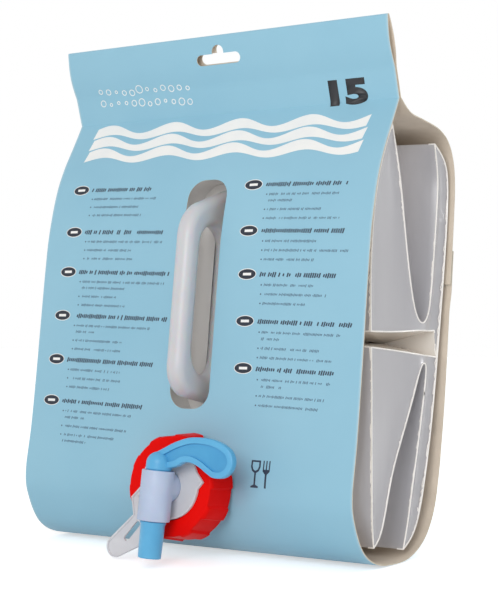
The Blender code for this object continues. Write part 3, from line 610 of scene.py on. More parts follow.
def rule_lines(items):
    """Places of the headings, the lines under them and their bullets, in metres."""
    heads = []
    lines = []
    dots = []
    for (x, y), head_end, ends in items:
        start = x + INDENT / MM
        drop = y + HEAD_LIFT
        heads.append((start, drop, head_end))
        drop += (TYPE_ROWS - TYPE_STEP) / MM
        for continued, end in ends:
            drop += TYPE_CONTINUED / MM if continued else TYPE_STEP / MM
            lines.append((start + LINE_INDENT, drop, end))
            if not continued:
                dots.append((start + BULLET_INDENT, drop))
    return heads, lines, dots


def lines_mesh(name, rules):
    """Loose edges, one for each rule, sloping as the print does."""
    mesh = bpy.data.meshes.new(name)
    verts = []
    for start, drop, end in rules:
        verts.append((start * MM, drop * MM, 0))
        verts.append((end * MM, (drop + PRINT_SLOPE * (end - start)) * MM, 0))
    mesh.from_pydata(verts, [(i, i + 1) for i in range(0, len(verts), 2)], [])
    return mesh


def geometry_tree(name, **inputs):
    """Geometry Nodes tree with named inputs; gives the tree, its ends and its sockets."""
    tree = bpy.data.node_groups.new(name, "GeometryNodeTree")
    tree.interface.new_socket("Geometry", socket_type="NodeSocketGeometry")
    sockets = {}
    for label, value in {**inputs, "Material": None}.items():
        kind = {float: "Float", int: "Int"}.get(type(value), "Material")
        socket = tree.interface.new_socket(label, socket_type="NodeSocket" + kind)
        if value is not None:
            socket.default_value = value
        sockets[label] = socket.identifier
    tree.interface.new_socket("Geometry", in_out="OUTPUT", socket_type="NodeSocketGeometry")
    return tree, add_node(tree, "NodeGroupInput"), add_node(tree, "NodeGroupOutput"), sockets


def end_tree(tree, start, end, last, socket):
    """Close a tree with real geometry in the material that it is given."""
    solid = add_node(tree, "GeometryNodeRealizeInstances")
    colour = add_node(tree, "GeometryNodeSetMaterial")
    wire(tree, (last, socket, solid, "Geometry"), (solid, "Geometry", colour, "Geometry"),
         (start, "Material", colour, "Material"), (colour, "Geometry", end, "Geometry"))


def grown(name, base, tree, sockets, **values):
    """Plain mesh that a tree grows from a base mesh."""
    holder = add_piece(name, base)
    step = holder.modifiers.new("grow", "NODES")
    step.node_group = tree
    for label, value in values.items():
        step[sockets[label]] = value
    return taken_mesh(holder)


def type_tree():
    """Along each rule, small slanted strokes of uneven height with gaps, like small type."""
    tree, start, end, sockets = geometry_tree("type", Pitch=0.001, Stroke=0.0007, Low=0.0008,
                                              High=0.0014, Seed=3)
    rules = add_node(tree, "GeometryNodeMeshToCurve")
    spots = add_node(tree, "GeometryNodeCurveToPoints", mode="LENGTH")
    stroke = add_node(tree, "GeometryNodeMeshGrid", {"Vertices X": 2, "Vertices Y": 2,
                                                     "Size X": 1, "Size Y": 1})
    tall = add_node(tree, "FunctionNodeRandomValue", data_type="FLOAT")
    kept = add_node(tree, "FunctionNodeRandomValue", {"Probability": 0.84}, data_type="BOOLEAN")
    size = add_node(tree, "ShaderNodeCombineXYZ", {"Z": 1})
    place = add_node(tree, "GeometryNodeInstanceOnPoints", {"Rotation": (0, 0, math.radians(17))})
    wire(tree, (start, "Geometry", rules, "Mesh"), (rules, "Curve", spots, "Curve"),
         (start, "Pitch", spots, "Length"), (start, "Low", tall, 2), (start, "High", tall, 3),
         (start, "Seed", tall, "Seed"), (start, "Seed", kept, "Seed"), (start, "Stroke", size, "X"),
         (tall, 1, size, "Y"), (kept, 3, place, "Selection"), (spots, "Points", place, "Points"),
         (stroke, "Mesh", place, "Instance"), (size, 0, place, "Scale"))
    end_tree(tree, start, end, place, "Instances")
    return tree, sockets


small_type, type_sockets = type_tree()
heads, lines, dots = rule_lines(items)
ink_grey = finish("grey_ink", srgb(66, 84, 108), srgb(84, 104, 128), 200, 0.6, 0.4, 0.00001)
inked("heading_rules", grown(
    "heading_rules", lines_mesh("heads", heads), small_type, type_sockets,
    Pitch=1.5 * MM, Stroke=0.95 * MM, Low=1.7 * MM, High=3.3 * MM, Seed=5,
    Material=ink_dark), 0, ink_dark)
inked("small_rules", grown(
    "small_rules", lines_mesh("lines", lines), small_type, type_sockets,
    Pitch=0.95 * MM, Stroke=0.42 * MM, Low=0.8 * MM, High=1.9 * MM, Seed=11,
    Material=ink_grey), 0, ink_grey)
inked("rule_bullets", flat_mesh("bullets", [oval(x * MM, y * MM, MM, MM, 10)
                                            for x, y in dots]), 0, ink_grey)


def cup_and_fork():
    """Outlined stemmed cup and a fork, the plain mark for goods that touch food and drink."""
    cup = [(-6.4, 0), (-0.6, 0), (-0.5, 3.4), (-1.4, 5.6), (-3.0, 6.6), (-3.0, 12.6),
           (-1.2, 13.4), (-1.2, 14.2), (-5.8, 14.2), (-5.8, 13.4), (-4.0, 12.6), (-4.0, 6.6),
           (-5.6, 5.6), (-6.5, 3.4)]
    bowl = [(-5.4, 0.9), (-1.6, 0.9), (-1.5, 3.1), (-2.1, 4.7), (-3.5, 5.5), (-4.9, 4.7),
            (-5.5, 3.1)]
    tines = [[(x, 0), (x + 0.7, 0), (x + 0.7, 4.6), (x, 4.6)] for x in (1.0, 2.8, 4.6)]
    fork = [(1.0, 4.6), (5.3, 4.6), (5.3, 5.6), (3.7, 7.2), (3.7, 14.2), (2.6, 14.2), (2.6, 7.2),
            (1.0, 5.6)]
    shapes = [cup, fork] + tines
    left, top = MARK_PLACE
    placed = [[((left + MARK_SCALE * x) * MM, (top + MARK_SCALE * y) * MM) for x, y in shape]
              for shape in shapes + [bowl]]
    return placed[:-1], placed[-1]


mark, bowl = cup_and_fork()
inked("food_mark", flat_mesh("food_mark", mark), 0, ink_dark)
inked("mark_bowl", flat_mesh("mark_bowl", [bowl]), INK, board_blue)

# Glue
# Dried adhesive: one film between the header's two layers and one under the back lap,
# rolled on thin and left a little cloudy.
dried_glue = finish("dried_glue", srgb(226, 218, 190), srgb(206, 194, 160), 120, 0.8, 0.35,
                    0.00006)
for name in ("header_glue_strip", "seam_glue_strip"):
    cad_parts[name].data.materials.clear()
    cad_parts[name].data.materials.append(dried_glue)

# Can
# A soft cube of clear polyethylene film, flattened front to back: its top and bottom walls
# fold inward, and so do its two sides, so creased edges and pleats show at the open sleeve.
CAN_GAP = 1.5 * MM
SIDE_GAP = 3 * MM
FRONT_HEIGHTS = [0.290, 0.450, 0.610, 0.762, 0.870, 0.925]
BACK_HEIGHTS = [0.955, 0.870, 0.740, 0.560, 0.400, 0.300, 0.245]
END_FRONT_GAPS = [0.005, 0.030, 0.100, 0.151, 0.194, 0.160]
END_BACK_GAPS = [0.055, 0.080, 0.055, 0.035, 0.012, 0.010, 0.012]
TOP_PLEAT = [(6, -50.5), (11, -64.8), (17.8, -88.4), (22.2, -115), (29.4, -148), (36.3, -166.8),
             (44.8, -172.4), (53.2, -167.5), (57.6, -149.4), (61.8, -120.2), (65.5, -95),
             (67, -77), (62, -57.5)]
BOTTOM_PLEAT = [(-17.1, -303.1), (-8.9, -298.1), (-2.7, -283.8), (5.6, -259.4), (18.5, -239.9),
                (33.8, -214.9), (42.8, -197.5), (47.5, -195), (51, -198), (47.2, -215.5),
                (41.8, -236), (36, -256.7), (29, -280), (24.9, -295), (19.5, -308.5)]
MIDDLE_TOP_FOLD = (0.385, 0.500)
MIDDLE_BOTTOM_FOLD = (0.350, 0.700)
PINCH = 0.2
TUCK_ROOT = 51 * MM
TUCK_BACK = 30 * MM
TUCK_PROUD = 2 * MM
TUCK_CORNERS = [("mouth", -30, -174.2), ("mouth", -30, -184.6), ("deep", -30, -179.5),
                ("mouth", 66, -174.6), ("mouth", 66, -193.4), ("shallow", 50, -184)]
TUCK_FACES = [(0, 1, 2), (3, 5, 4), (0, 3, 4, 1), (1, 4, 5, 2), (2, 5, 3, 0)]
CREASED = 4 * MM
CREASE_TURN = 0.9
CREASE_RADIUS = 0.5 * MM
PAINTED_LIGHT_DEPTH = 30 * MM
END_GRID = (((0, 1, 0), range(-24, 90, 4)), ((0, 0, 1), range(-312, -48, 4)))
SLACK_REACH = 5 * MM
FILM_SLACK = 2.4 * MM
FILM_RIPPLE = 1.2 * MM
FILM_ROUGHNESS = 0.26
SECTIONS = [0.0, 0.45, 0.80, 0.94, 1.0]


def panel_depth(stations, height_share):
    ordered = sorted(stations, key=lambda station: station[1])
    for (depth_a, height_a), (depth_b, height_b) in zip(ordered, ordered[1:]):
        if height_a <= height_share <= height_b:
            share = (height_share - height_a) / (height_b - height_a)
            return depth_a + (depth_b - depth_a) * share
    return ordered[-1][0]


def wall_place(stations, side, height_share, gap):
    """Place on the can's front (side -1) or back (side 1) wall, a gap inside the board."""
    place = side_view(panel_depth(stations, height_share), height_share)
    return place - Vector((side * (BOARD / 2 + gap), 0))


def pleat(line, fold, end):
    """One fold in side view: a plain V in the can's middle, and its true line at the ends."""
    half = len(line) // 2
    first, *_, last = (Vector(spot) * MM for spot in line)
    places = []
    for i, spot in enumerate(line):
        share = i / half
        straight = first.lerp(fold, share) if i <= half else fold.lerp(last, share - 1)
        places.append(straight.lerp(Vector(spot) * MM, end))
    pinch = PINCH * (1 - end ** 6) / 2
    return [place.lerp(facing, pinch) for place, facing in zip(places, places[::-1])]


def can_section(end):
    """Side view of the can; end runs from 0 at the middle to 1 at the open side."""
    trailing = end ** 3 * CARD_DEPTH
    front = [wall_place(FRONT_STATIONS, -1, height, CAN_GAP + trailing * extra)
             for height, extra in zip(FRONT_HEIGHTS, END_FRONT_GAPS)]
    back = [wall_place(BACK_STATIONS, 1, height, CAN_GAP + trailing * extra)
            for height, extra in zip(BACK_HEIGHTS, END_BACK_GAPS)]
    top = pleat(TOP_PLEAT, side_view(*MIDDLE_TOP_FOLD), end)
    bottom = pleat(BOTTOM_PLEAT, side_view(*MIDDLE_BOTTOM_FOLD), end)
    return top[:1] + front + bottom + back + top[:0:-1]


can_half = CARD_WIDTH / 2 - SIDE_GAP
front_count = len(FRONT_HEIGHTS)
back_start = front_count + len(BOTTOM_PLEAT)
fold_lines = {0, front_count + 1, back_start, back_start + len(BACK_HEIGHTS) + 1}


def can_tube():
    """The can as a tube from side to side, open at both ends, with sharp fold lines."""
    count = len(can_section(0))
    shares = [-share for share in SECTIONS[:0:-1]] + SECTIONS
    verts = []
    faces = []
    for share in shares:
        verts += [(share * can_half, place.x, place.y) for place in can_section(abs(share))]
    for ring in range(len(shares) - 1):
        for i in range(count):
            here = ring * count + i
            beside = ring * count + (i + 1) % count
            faces.append((here, here + count, beside + count, beside))
    mesh = bpy.data.meshes.new("film_can")
    mesh.from_pydata(verts, [], faces)
    mesh.update()
    crease = mesh.attributes.new("crease_edge", "FLOAT", "EDGE")
    for edge in mesh.edges:
        a, b = edge.vertices
        if a % count == b % count and a % count in fold_lines:
            crease.data[edge.index].value = 1.0
    return mesh


def close_ends(piece):
    """Film across both ends, slack between its creased edges and a little wrinkled."""
    body = bmesh.new()
    body.from_mesh(piece.data)
    rim = [edge for edge in body.edges if edge.is_boundary]
    rim_tree = kdtree.KDTree(2 * len(rim))
    for i, edge in enumerate(rim):
        for k in (0, 1):
            rim_tree.insert(edge.verts[k].co, 2 * i + k)
    rim_tree.balance()
    for side in (-1, 1):
        loop_edges = [edge for edge in rim if side * edge.verts[0].co.x > 0]
        wall = bmesh.ops.contextual_create(body, geom=loop_edges)["faces"]
        wall = bmesh.ops.triangulate(body, faces=wall, ngon_method="EAR_CLIP")["faces"]
        for way, cuts in END_GRID:
            for cut in cuts:
                edges = {edge for face in wall for edge in face.edges}
                verts = {vert for face in wall for vert in face.verts}
                done = bmesh.ops.bisect_plane(body, geom=[*verts, *edges, *wall],
                                              plane_co=[share * cut * MM for share in way],
                                              plane_no=way)
                wall = [item for item in done["geom"] if isinstance(item, bmesh.types.BMFace)]
        members = set(wall)
        inside = {vert for face in wall for vert in face.verts
                  if all(linked in members for linked in vert.link_faces)}
        for vert in inside:
            slack = 1 - math.exp(-rim_tree.find(vert.co)[2] / SLACK_REACH)
            ripple = noise.noise(Vector((vert.co.y * 45, vert.co.z * 9, side * 3.0)))
            vert.co.x -= side * slack * (FILM_SLACK + FILM_RIPPLE * ripple)
    bmesh.ops.triangulate(body, faces=[face for face in body.faces if len(face.verts) > 4])
    bmesh.ops.recalc_face_normals(body, faces=body.faces)
    body.to_mesh(piece.data)
    body.free()


def side_tuck(side):
    """Wedge that the end wall's middle folds in along, between its two lips."""
    reach = {"mouth": can_half + TUCK_PROUD, "deep": TUCK_ROOT, "shallow": can_half - TUCK_BACK}
    turned = bmesh.new()
    verts = [turned.verts.new((side * reach[x], y * MM, z * MM)) for x, y, z in TUCK_CORNERS]
    for face in TUCK_FACES:
        turned.faces.new([verts[i] for i in face])
    bmesh.ops.triangulate(turned, faces=turned.faces[:])
    bmesh.ops.recalc_face_normals(turned, faces=turned.faces)
    return mesh_from(turned, "tuck")


def film_look(name, colour, shade):
    """Cloudy film: long soft streaks down it, light spread inside it and a clear gloss."""
    made = finish(name, colour, shade, 9, 0.3, FILM_ROUGHNESS, 0.00002)
    tune(made, Coat_Weight=0.35, Coat_Roughness=0.15, Subsurface_Weight=0.3,
         Subsurface_Radius=(1, 1, 1), Subsurface_Scale=0.012, Roughness=FILM_ROUGHNESS)
    tree = made.node_tree
    tree.links.remove(tree.nodes["Principled BSDF"].inputs["Roughness"].links[0])
    place = add_node(tree, "ShaderNodeTexCoord")
    stretched = add_node(tree, "ShaderNodeMapping", {"Scale": (70, 70, 9)})
    streaks = add_node(tree, "ShaderNodeTexNoise", {"Scale": 1, "Detail": 3})
    bump = add_node(tree, "ShaderNodeBump", {"Distance": 0.0009, "Strength": 0.35})
    wire(tree, (place, "Object", stretched, "Vector"), (stretched, "Vector", streaks, "Vector"),
         (streaks, "Fac", bump, "Height"), (bump, "Normal", tree.nodes["fine_relief"], "Normal"))
    return made


film = film_look("clear_film", srgb(182, 181, 185), srgb(178, 177, 182))
# Painted light: from the creased ends inward the film turns near white, a painted brightness
# standing in for light that passes through the film into the can's folds.
blend_sideways(film, can_half - CREASED, can_half - PAINTED_LIGHT_DEPTH, srgb(250, 248, 250))
film_can = add_piece("film_can", can_tube(), film)
soft = film_can.modifiers.new("soft_film", "SUBSURF")
soft.levels = 3
soft.render_levels = 3
settled(film_can)
close_ends(film_can)
shaded_film = film_look("shaded_film", srgb(232, 224, 214), srgb(226, 218, 208))
for side in (-1, 1):
    cut_with(film_can, side_tuck(side), shaded_film)


def sweep_ridge(tree, start, end, line, radius):
    """Sweep a round ridge along a node's curve, and close the tree."""
    ridge = add_node(tree, "GeometryNodeCurvePrimitiveCircle", {"Resolution": 8})
    sweep = add_node(tree, "GeometryNodeCurveToMesh", {"Fill Caps": True})
    wire(tree, (start, radius, ridge, "Radius"), (line, "Curve", sweep, "Curve"),
         (ridge, "Curve", sweep, "Profile Curve"))
    end_tree(tree, start, end, sweep, "Mesh")


def fold_tree():
    """A thin rounded ridge along loose edges, for the film's stiff creases."""
    tree, start, end, sockets = geometry_tree("folds", Thickness=0.0004)
    lines = add_node(tree, "GeometryNodeMeshToCurve")
    wire(tree, (start, "Geometry", lines, "Mesh"))
    sweep_ridge(tree, start, end, lines, "Thickness")
    return tree, sockets


def crease_lines(piece):
    """Loose edges round a piece's two open ends, and where it turns sharply near them."""
    body = bmesh.new()
    body.from_mesh(piece.data)
    body.normal_update()
    kept = []
    for edge in body.edges:
        reach = min(abs(vert.co.x) for vert in edge.verts)
        sharp = edge.calc_face_angle(0) > CREASE_TURN
        if reach > can_half - MM / 20 or (sharp and reach > can_half - CREASED):
            kept.append(edge)
    places = {}
    for edge in kept:
        for vert in edge.verts:
            places.setdefault(vert, len(places))
    mesh = bpy.data.meshes.new("creases")
    mesh.from_pydata([vert.co[:] for vert in places], [[places[vert] for vert in edge.verts]
                                                       for edge in kept], [])
    body.free()
    return mesh


folds, fold_sockets = fold_tree()
# The ridges are the film's creases; their near-white colour is a painted highlight along each fold
# edge.
stiff = finish("crease_painted_highlight", srgb(255, 252, 247), srgb(248, 244, 238), 40, 0.4, 0.2, 0.00001)
fold_ridges = add_piece("fold_ridges", grown(
    "fold_ridges", crease_lines(film_can), folds, fold_sockets, Thickness=CREASE_RADIUS,
    Material=stiff))
smooth(fold_ridges)
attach(fold_ridges, "carrier")

POCKET = (48 * MM, 152 * MM, 16 * MM)
POCKET_DEPTH = 30.3 * MM
# Painted light: the faces of the pocket round the handle are painted near white, standing in for
# light that comes through the film into the pocket.
pocket_painted_light = film_look("pocket_film_painted_light", srgb(255, 252, 249), srgb(250, 247, 243))
tune(pocket_painted_light, Subsurface_Weight=0)
cut_with(film_can, extruded("pocket", [rounded_oblong(*POCKET)], -POCKET_DEPTH, POCKET_DEPTH,
                            handle_place), pocket_painted_light)
NECK_ROOT = 17 * MM
FIT = 0.3 * MM
cut_with(film_can, extruded("socket", [circle(NECK_OUTER / 2 + FIT, 96)], -NECK_ROOT - FIT,
                            CUTOUT_CUT, neck_place), film)
smooth(film_can, 40)
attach(film_can, "carrier")
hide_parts("can_body")

# Handle
# A milky polyethylene ring moulded with the can: its rail lies at the bottom of the can's
# pocket and its grip reaches out through the sleeve, with rounded edges all round.
GRIP_THICKNESS = 13 * MM
GRIP_ROUNDING = 5.5 * MM
GRIP_FRONT = 21 * MM
GRIP_DEPTH = 13.6 * MM
GRIP_TOP = 70 * MM
GRIP_BOTTOM = 68 * MM
GRIP_ROOT = 30 * MM
GRIP_SHOULDER = 33 * MM
SHOULDER_RADIUS = 26 * MM
SHOULDER_TURN = math.radians(66)
GRIP_HEEL = -47 * MM
HEEL_RADIUS = 20 * MM
HEEL_TURN = math.radians(72)
FINGER_TOP = 43 * MM
FINGER_BOTTOM = 51 * MM
RAIL_FRONT = 22 * MM


def handle_outlines():
    """Outer outline and finger hole, as (out from the sleeve, up)."""
    front = GRIP_FRONT
    back = -GRIP_ROOT
    slope = GRIP_DEPTH / 2
    outer = [(back, -GRIP_BOTTOM), (back, GRIP_TOP), (back + slope, GRIP_TOP)]
    outer += arc((front - SHOULDER_RADIUS, GRIP_SHOULDER), SHOULDER_RADIUS, SHOULDER_TURN, 0, 12)
    outer += arc((front - HEEL_RADIUS, GRIP_HEEL), HEEL_RADIUS, 0, -HEEL_TURN, 12)
    outer += [(back + GRIP_DEPTH, -GRIP_BOTTOM)]
    hole_front = front - GRIP_DEPTH
    radius = (hole_front + RAIL_FRONT) / 2
    middle = hole_front - radius
    hole = arc((middle, FINGER_TOP - radius), radius, 0, math.pi, 20)
    hole += arc((middle, radius - FINGER_BOTTOM), radius, math.pi, 2 * math.pi, 20)
    return [outer, hole]


def shifted(outline, inset):
    """Outline moved sideways into the piece, point by point."""
    places = [Vector(spot) for spot in outline]
    moved = []
    for i, place in enumerate(places):
        along = places[(i + 1) % len(places)] - places[i - 1]
        moved.append(place + Vector((along.y, -along.x)).normalized() * inset)
    return moved


def ring_stack(made, rings, outline_at):
    """Faces between stacked outlines, given as (inset, height); returns the two end loops."""
    loops = []
    for inset, height in rings:
        loops.append([made.verts.new((spot.x, spot.y, height)) for spot in outline_at(inset)])
    for upper, lower in zip(loops, loops[1:]):
        bridge(made, upper, lower)
    return [loops[0], loops[-1]]


def handle_mesh():
    """Ring with broad roundings on all its edges and two narrow flat sides."""
    half = GRIP_THICKNESS / 2
    rings = []
    for k in range(8):
        turn = math.pi / 2 * k / 7
        rings.append((GRIP_ROUNDING * (1 - math.sin(turn)),
                      half - GRIP_ROUNDING * (1 - math.cos(turn))))
    rings += [(inset, -height) for inset, height in rings[::-1]]
    made = bmesh.new()
    ends = [ring_stack(made, rings, lambda inset, line=line: shifted(line, inset))
            for line in handle_outlines()]
    for outer, hole in zip(*ends):
        rim = [made.edges.get((loop[i - 1], loop[i])) for loop in (outer, hole)
               for i in range(len(loop))]
        bmesh.ops.triangle_fill(made, edges=rim, use_beauty=True)
    bmesh.ops.recalc_face_normals(made, faces=made.faces)
    made.transform(handle_place @ Matrix.Rotation(-math.pi / 2, 4, "Y"))
    return mesh_from(made, "grip_handle")


milky = finish("milky_moulding", srgb(208, 210, 213), srgb(201, 203, 208), 40, 0.5, 0.3,
               0.00005)
tune(milky, Subsurface_Weight=0.5, Subsurface_Scale=0.01)
grip_handle = add_piece("grip_handle", handle_mesh(), milky)
smooth(grip_handle)
even = grip_handle.modifiers.new("even_shading", "WEIGHTED_NORMAL")
even.keep_sharp = True
settled(grip_handle)
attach(grip_handle, "carrier")
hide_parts("carry_handle")

# Neck
# A stiff milky tube moulded on the can's front, with a rounded lip and two turns of thread
# that the nut runs on.
NECK_BORE = 45 * MM
NUT_START = 0.9 * MM
NUT_DEPTH = 20 * MM
NUT_FACE = 2.2 * MM
FLANGE_THICKNESS = 2.3 * MM
GASKET_THICKNESS = 2 * MM
nut_end = NUT_START + NUT_DEPTH
flange_front = nut_end - NUT_FACE - FIT
flange_back = flange_front - FLANGE_THICKNESS
neck_rim = flange_back - FIT - GASKET_THICKNESS - FIT
THREAD_PITCH = 4 * MM
THREAD_TURNS = 2.0
THREAD_RIDGE = 0.9 * MM
NECK_THREAD_START = 3.2 * MM
NUT_THREAD_START = 5.2 * MM
LIP_ROUNDING = 1.2 * MM


def rounded(corners, closed=True, steps=4):
    """Profile through (radius, height, fillet) corners, each rounded by its fillet."""
    points = []
    count = len(corners)
    for i, (radius, height, fillet) in enumerate(corners):
        here = Vector((radius, height))
        if fillet == 0 or (not closed and i in (0, count - 1)):
            points.append((radius, height))
            continue
        before = Vector(corners[i - 1][:2]) - here
        after = Vector(corners[(i + 1) % count][:2]) - here
        reach = min(fillet, before.length * 0.49, after.length * 0.49)
        start = here + before.normalized() * reach
        end = here + after.normalized() * reach
        for k in range(steps + 1):
            t = k / steps
            spot = start * (1 - t) ** 2 + here * (2 * t * (1 - t)) + end * t ** 2
            points.append((spot.x, spot.y))
    return points


def lathe(name, profile, steps, place, relief=None):
    """Turn a profile, listed down its outer side, about Z; relief adds to its radius."""
    made = bmesh.new()
    rings = []
    for radius, height in profile:
        if radius < MM / 100:
            rings.append([made.verts.new((0, 0, height))])
            continue
        ring = []
        for i in range(steps):
            turn = 2 * math.pi * i / steps
            reach = radius + (relief(turn, radius, height) if relief else 0)
            ring.append(made.verts.new((reach * math.cos(turn), reach * math.sin(turn), height)))
        rings.append(ring)
    pairs = list(zip(rings, rings[1:]))
    if profile[0][0] > MM / 100:
        pairs.append((rings[-1], rings[0]))
    for upper, lower in pairs:
        for i in range(steps):
            j = (i + 1) % steps
            if len(upper) == 1:
                made.faces.new((upper[0], lower[i], lower[j]))
            elif len(lower) == 1:
                made.faces.new((upper[i], lower[0], upper[j]))
            else:
                made.faces.new((upper[i], lower[i], lower[j], upper[j]))
    bmesh.ops.recalc_face_normals(made, faces=made.faces)
    made.transform(place)
    return mesh_from(made, name)


def thread_tree():
    """A rounded ridge swept along a helix about Z."""
    tree, start, end, sockets = geometry_tree("thread", Radius=0.026, Pitch=0.004, Turns=2.0,
                                              Ridge=0.0008)
    helix = add_node(tree, "GeometryNodeCurveSpiral", {"Resolution": 64})
    rise = add_node(tree, "ShaderNodeMath", operation="MULTIPLY")
    wire(tree, (start, "Turns", helix, "Rotations"), (start, "Radius", helix, "Start Radius"),
         (start, "Radius", helix, "End Radius"), (start, "Pitch", rise, 0),
         (start, "Turns", rise, 1), (rise, 0, helix, "Height"))
    sweep_ridge(tree, start, end, helix, "Ridge")
    return tree, sockets


def add_thread(piece, radius, height, material):
    """Add a helical ridge to a piece as a body of its own."""
    turns = grown("thread", bpy.data.meshes.new("seed"), thread, thread_sockets, Radius=radius,
                  Pitch=THREAD_PITCH, Turns=THREAD_TURNS, Ridge=THREAD_RIDGE, Material=material)
    turns.transform(neck_place @ Matrix.Translation((0, 0, height)))
    both = bmesh.new()
    both.from_mesh(piece.data)
    both.from_mesh(turns)
    both.to_mesh(piece.data)
    both.free()


thread, thread_sockets = thread_tree()
neck_tube = add_piece("neck_tube", lathe("neck_tube", rounded([
    (NECK_BORE / 2, neck_rim, LIP_ROUNDING), (NECK_OUTER / 2, neck_rim, LIP_ROUNDING),
    (NECK_OUTER / 2, -NECK_ROOT, 0), (NECK_BORE / 2, -NECK_ROOT, 0)]), 96, neck_place), milky)
add_thread(neck_tube, NECK_OUTER / 2, NECK_THREAD_START, milky)
smooth(neck_tube)
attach(neck_tube, "carrier")
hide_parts("can_neck")

# Gasket
# Flat ring of pale rubber, punched from sheet, pressed between the neck's lip and the tap's
# flange. It shows only while the nut is off the neck.
rubber = finish("pale_rubber", srgb(206, 204, 198), srgb(184, 182, 176), 180, 0.7, 0.6, 0.00006)
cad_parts["neck_gasket"].data.materials.clear()
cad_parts["neck_gasket"].data.materials.append(rubber)

# Nut
# Red polypropylene cup nut, moulded in one: an open face that holds the tap's flange, and
# broad low ribs down its side for the fingers.
NUT_OUTER = 64 * MM
NUT_WALL = 2.6 * MM
NUT_OPENING = 40 * MM
NUT_CHAMFER = 1.0 * MM
NUT_DRAFT = 2.0 * MM
NUT_CROWN = 2.0 * MM
NUT_RIM = 0.9 * MM
MOULD_ROUNDING = 0.6 * MM
EDGE_ROUNDING = 0.4 * MM
GRIP_RIBS = 10
RIB_WIDTH = 8.5 * MM
RIB_HEIGHT = 1.3 * MM
RIB_START = 0.25
RIB_SLOPE = 1.3 * MM
RIB_SPREAD = 0.5 * MM
RIB_FADE = 1.6 * MM


def nut_relief(turn, radius, height):
    """Height of the finger ribs on the nut's outer side."""
    outer = NUT_OUTER / 2 - NUT_DRAFT * (height - NUT_START) / NUT_DEPTH
    if radius < outer - NUT_WALL / 2 or height < NUT_START + NUT_CHAMFER / 2:
        return 0
    pitch = 2 * math.pi / GRIP_RIBS
    share = (turn / pitch - RIB_START) % 1
    off = min(share, 1 - share) * pitch * outer
    slope = min(max((RIB_WIDTH / 2 + RIB_SPREAD - off) / RIB_SLOPE, 0), 1)
    top = min(max((nut_end - height) / RIB_FADE, 0), 1)
    return RIB_HEIGHT * slope ** 2 * (3 - 2 * slope) * top


def nut_profile():
    outer = NUT_OUTER / 2
    inside = outer - NUT_WALL
    opening = NUT_OPENING / 2
    side = [(outer - NUT_DRAFT * (i / 12), NUT_START + (nut_end - NUT_START) * i / 12)
            for i in range(11, 0, -1)]
    rim = rounded([(opening, nut_end - NUT_FACE, EDGE_ROUNDING), (opening, nut_end, NUT_RIM),
                   (outer - NUT_DRAFT, nut_end, NUT_CROWN), (*side[0], 0)], closed=False)[1:]
    skirt = rounded([(*side[-1], 0), (outer, NUT_START, MOULD_ROUNDING),
                     (inside, NUT_START, MOULD_ROUNDING),
                     (inside - NUT_DRAFT, nut_end - NUT_FACE, MOULD_ROUNDING),
                     (opening, nut_end - NUT_FACE, 0)], closed=False)
    return rim[:-1] + side[:-1] + skirt


red = finish("red_moulding", (0.90, 0.003, 0.001), (0.80, 0.002, 0.001), 50, 0.7, 0.42, 0.00004)
tune(red, Specular_IOR_Level=0.08)
ribbed_nut = add_piece("ribbed_nut", lathe("ribbed_nut", nut_profile(), 300, neck_place,
                                           nut_relief), red)
add_thread(ribbed_nut, NUT_OUTER / 2 - NUT_WALL - 0.4 * NUT_DRAFT, NUT_THREAD_START, red)
smooth(ribbed_nut)
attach(ribbed_nut, "nut")
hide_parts("union_nut")

# Tap housing
# Milky polyethylene moulding: a flange and spigot held in the nut, a stub out through the
# nut's opening, and an upright barrel open at both ends.
TAP_ROLL = math.radians(3)
FLANGE_OUTER = 51.5 * MM
SPIGOT_OUTER = 42 * MM
SPIGOT_BORE = 36 * MM
SPIGOT_LENGTH = 4 * MM
STUB = 19 * MM
INLET_BORE = 11 * MM
BARREL_REACH = 12.1 * MM
BARREL_OUTER = 19.6 * MM
BARREL_BORE = 15.2 * MM
BARREL_TOP = 9.6 * MM
BARREL_BOTTOM = 20.4 * MM
FLANGE_ROUNDING = 0.3 * MM
STUB_ROUNDING = 0.8 * MM
OVERRUN = 2 * MM
axis_out = nut_end + BARREL_REACH
tap_place = neck_place @ Matrix.Rotation(-TAP_ROLL, 4, "Z")
barrel_place = (tap_place @ Matrix.Translation((0, 0, axis_out))
                @ Matrix.Rotation(-math.pi / 2, 4, "X"))

tap_milky = finish("tap_moulding", srgb(192, 205, 228), srgb(174, 190, 218), 60, 0.7, 0.3,
                   0.00004)
tune(tap_milky, Subsurface_Weight=0.2, Subsurface_Scale=0.003)
flanged_stub = lathe("flanged_stub", rounded([
    (0, axis_out, 0), (STUB / 2, axis_out, 0), (STUB / 2, flange_front, STUB_ROUNDING),
    (FLANGE_OUTER / 2, flange_front, FLANGE_ROUNDING),
    (FLANGE_OUTER / 2, flange_back, FLANGE_ROUNDING), (SPIGOT_OUTER / 2, flange_back, 0),
    (SPIGOT_OUTER / 2, flange_back - SPIGOT_LENGTH, EDGE_ROUNDING),
    (0, flange_back - SPIGOT_LENGTH, 0)], closed=False), 96, tap_place)
tap_barrel = add_piece("tap_barrel", flanged_stub, tap_milky)
barrel = lathe("barrel", rounded([
    (0, BARREL_TOP, 0), (BARREL_OUTER / 2, BARREL_TOP, MOULD_ROUNDING),
    (BARREL_OUTER / 2, -BARREL_BOTTOM, MOULD_ROUNDING), (0, -BARREL_BOTTOM, 0)], closed=False),
    96, barrel_place)
cut_with(tap_barrel, barrel, tap_milky, operation="UNION")
for radius, top, bottom, place in (
        (SPIGOT_BORE / 2, flange_back + FIT, flange_back - SPIGOT_LENGTH - OVERRUN, tap_place),
        (INLET_BORE / 2, axis_out, flange_back - OVERRUN, tap_place),
        (BARREL_BORE / 2, BARREL_TOP + OVERRUN, -BARREL_BOTTOM - OVERRUN, barrel_place)):
    cut_with(tap_barrel, lathe("bore", [(0, top), (radius, top), (radius, bottom), (0, bottom)],
                               64, place), tap_milky)
smooth(tap_barrel)
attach(tap_barrel, "tap")
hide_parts("tap_housing")

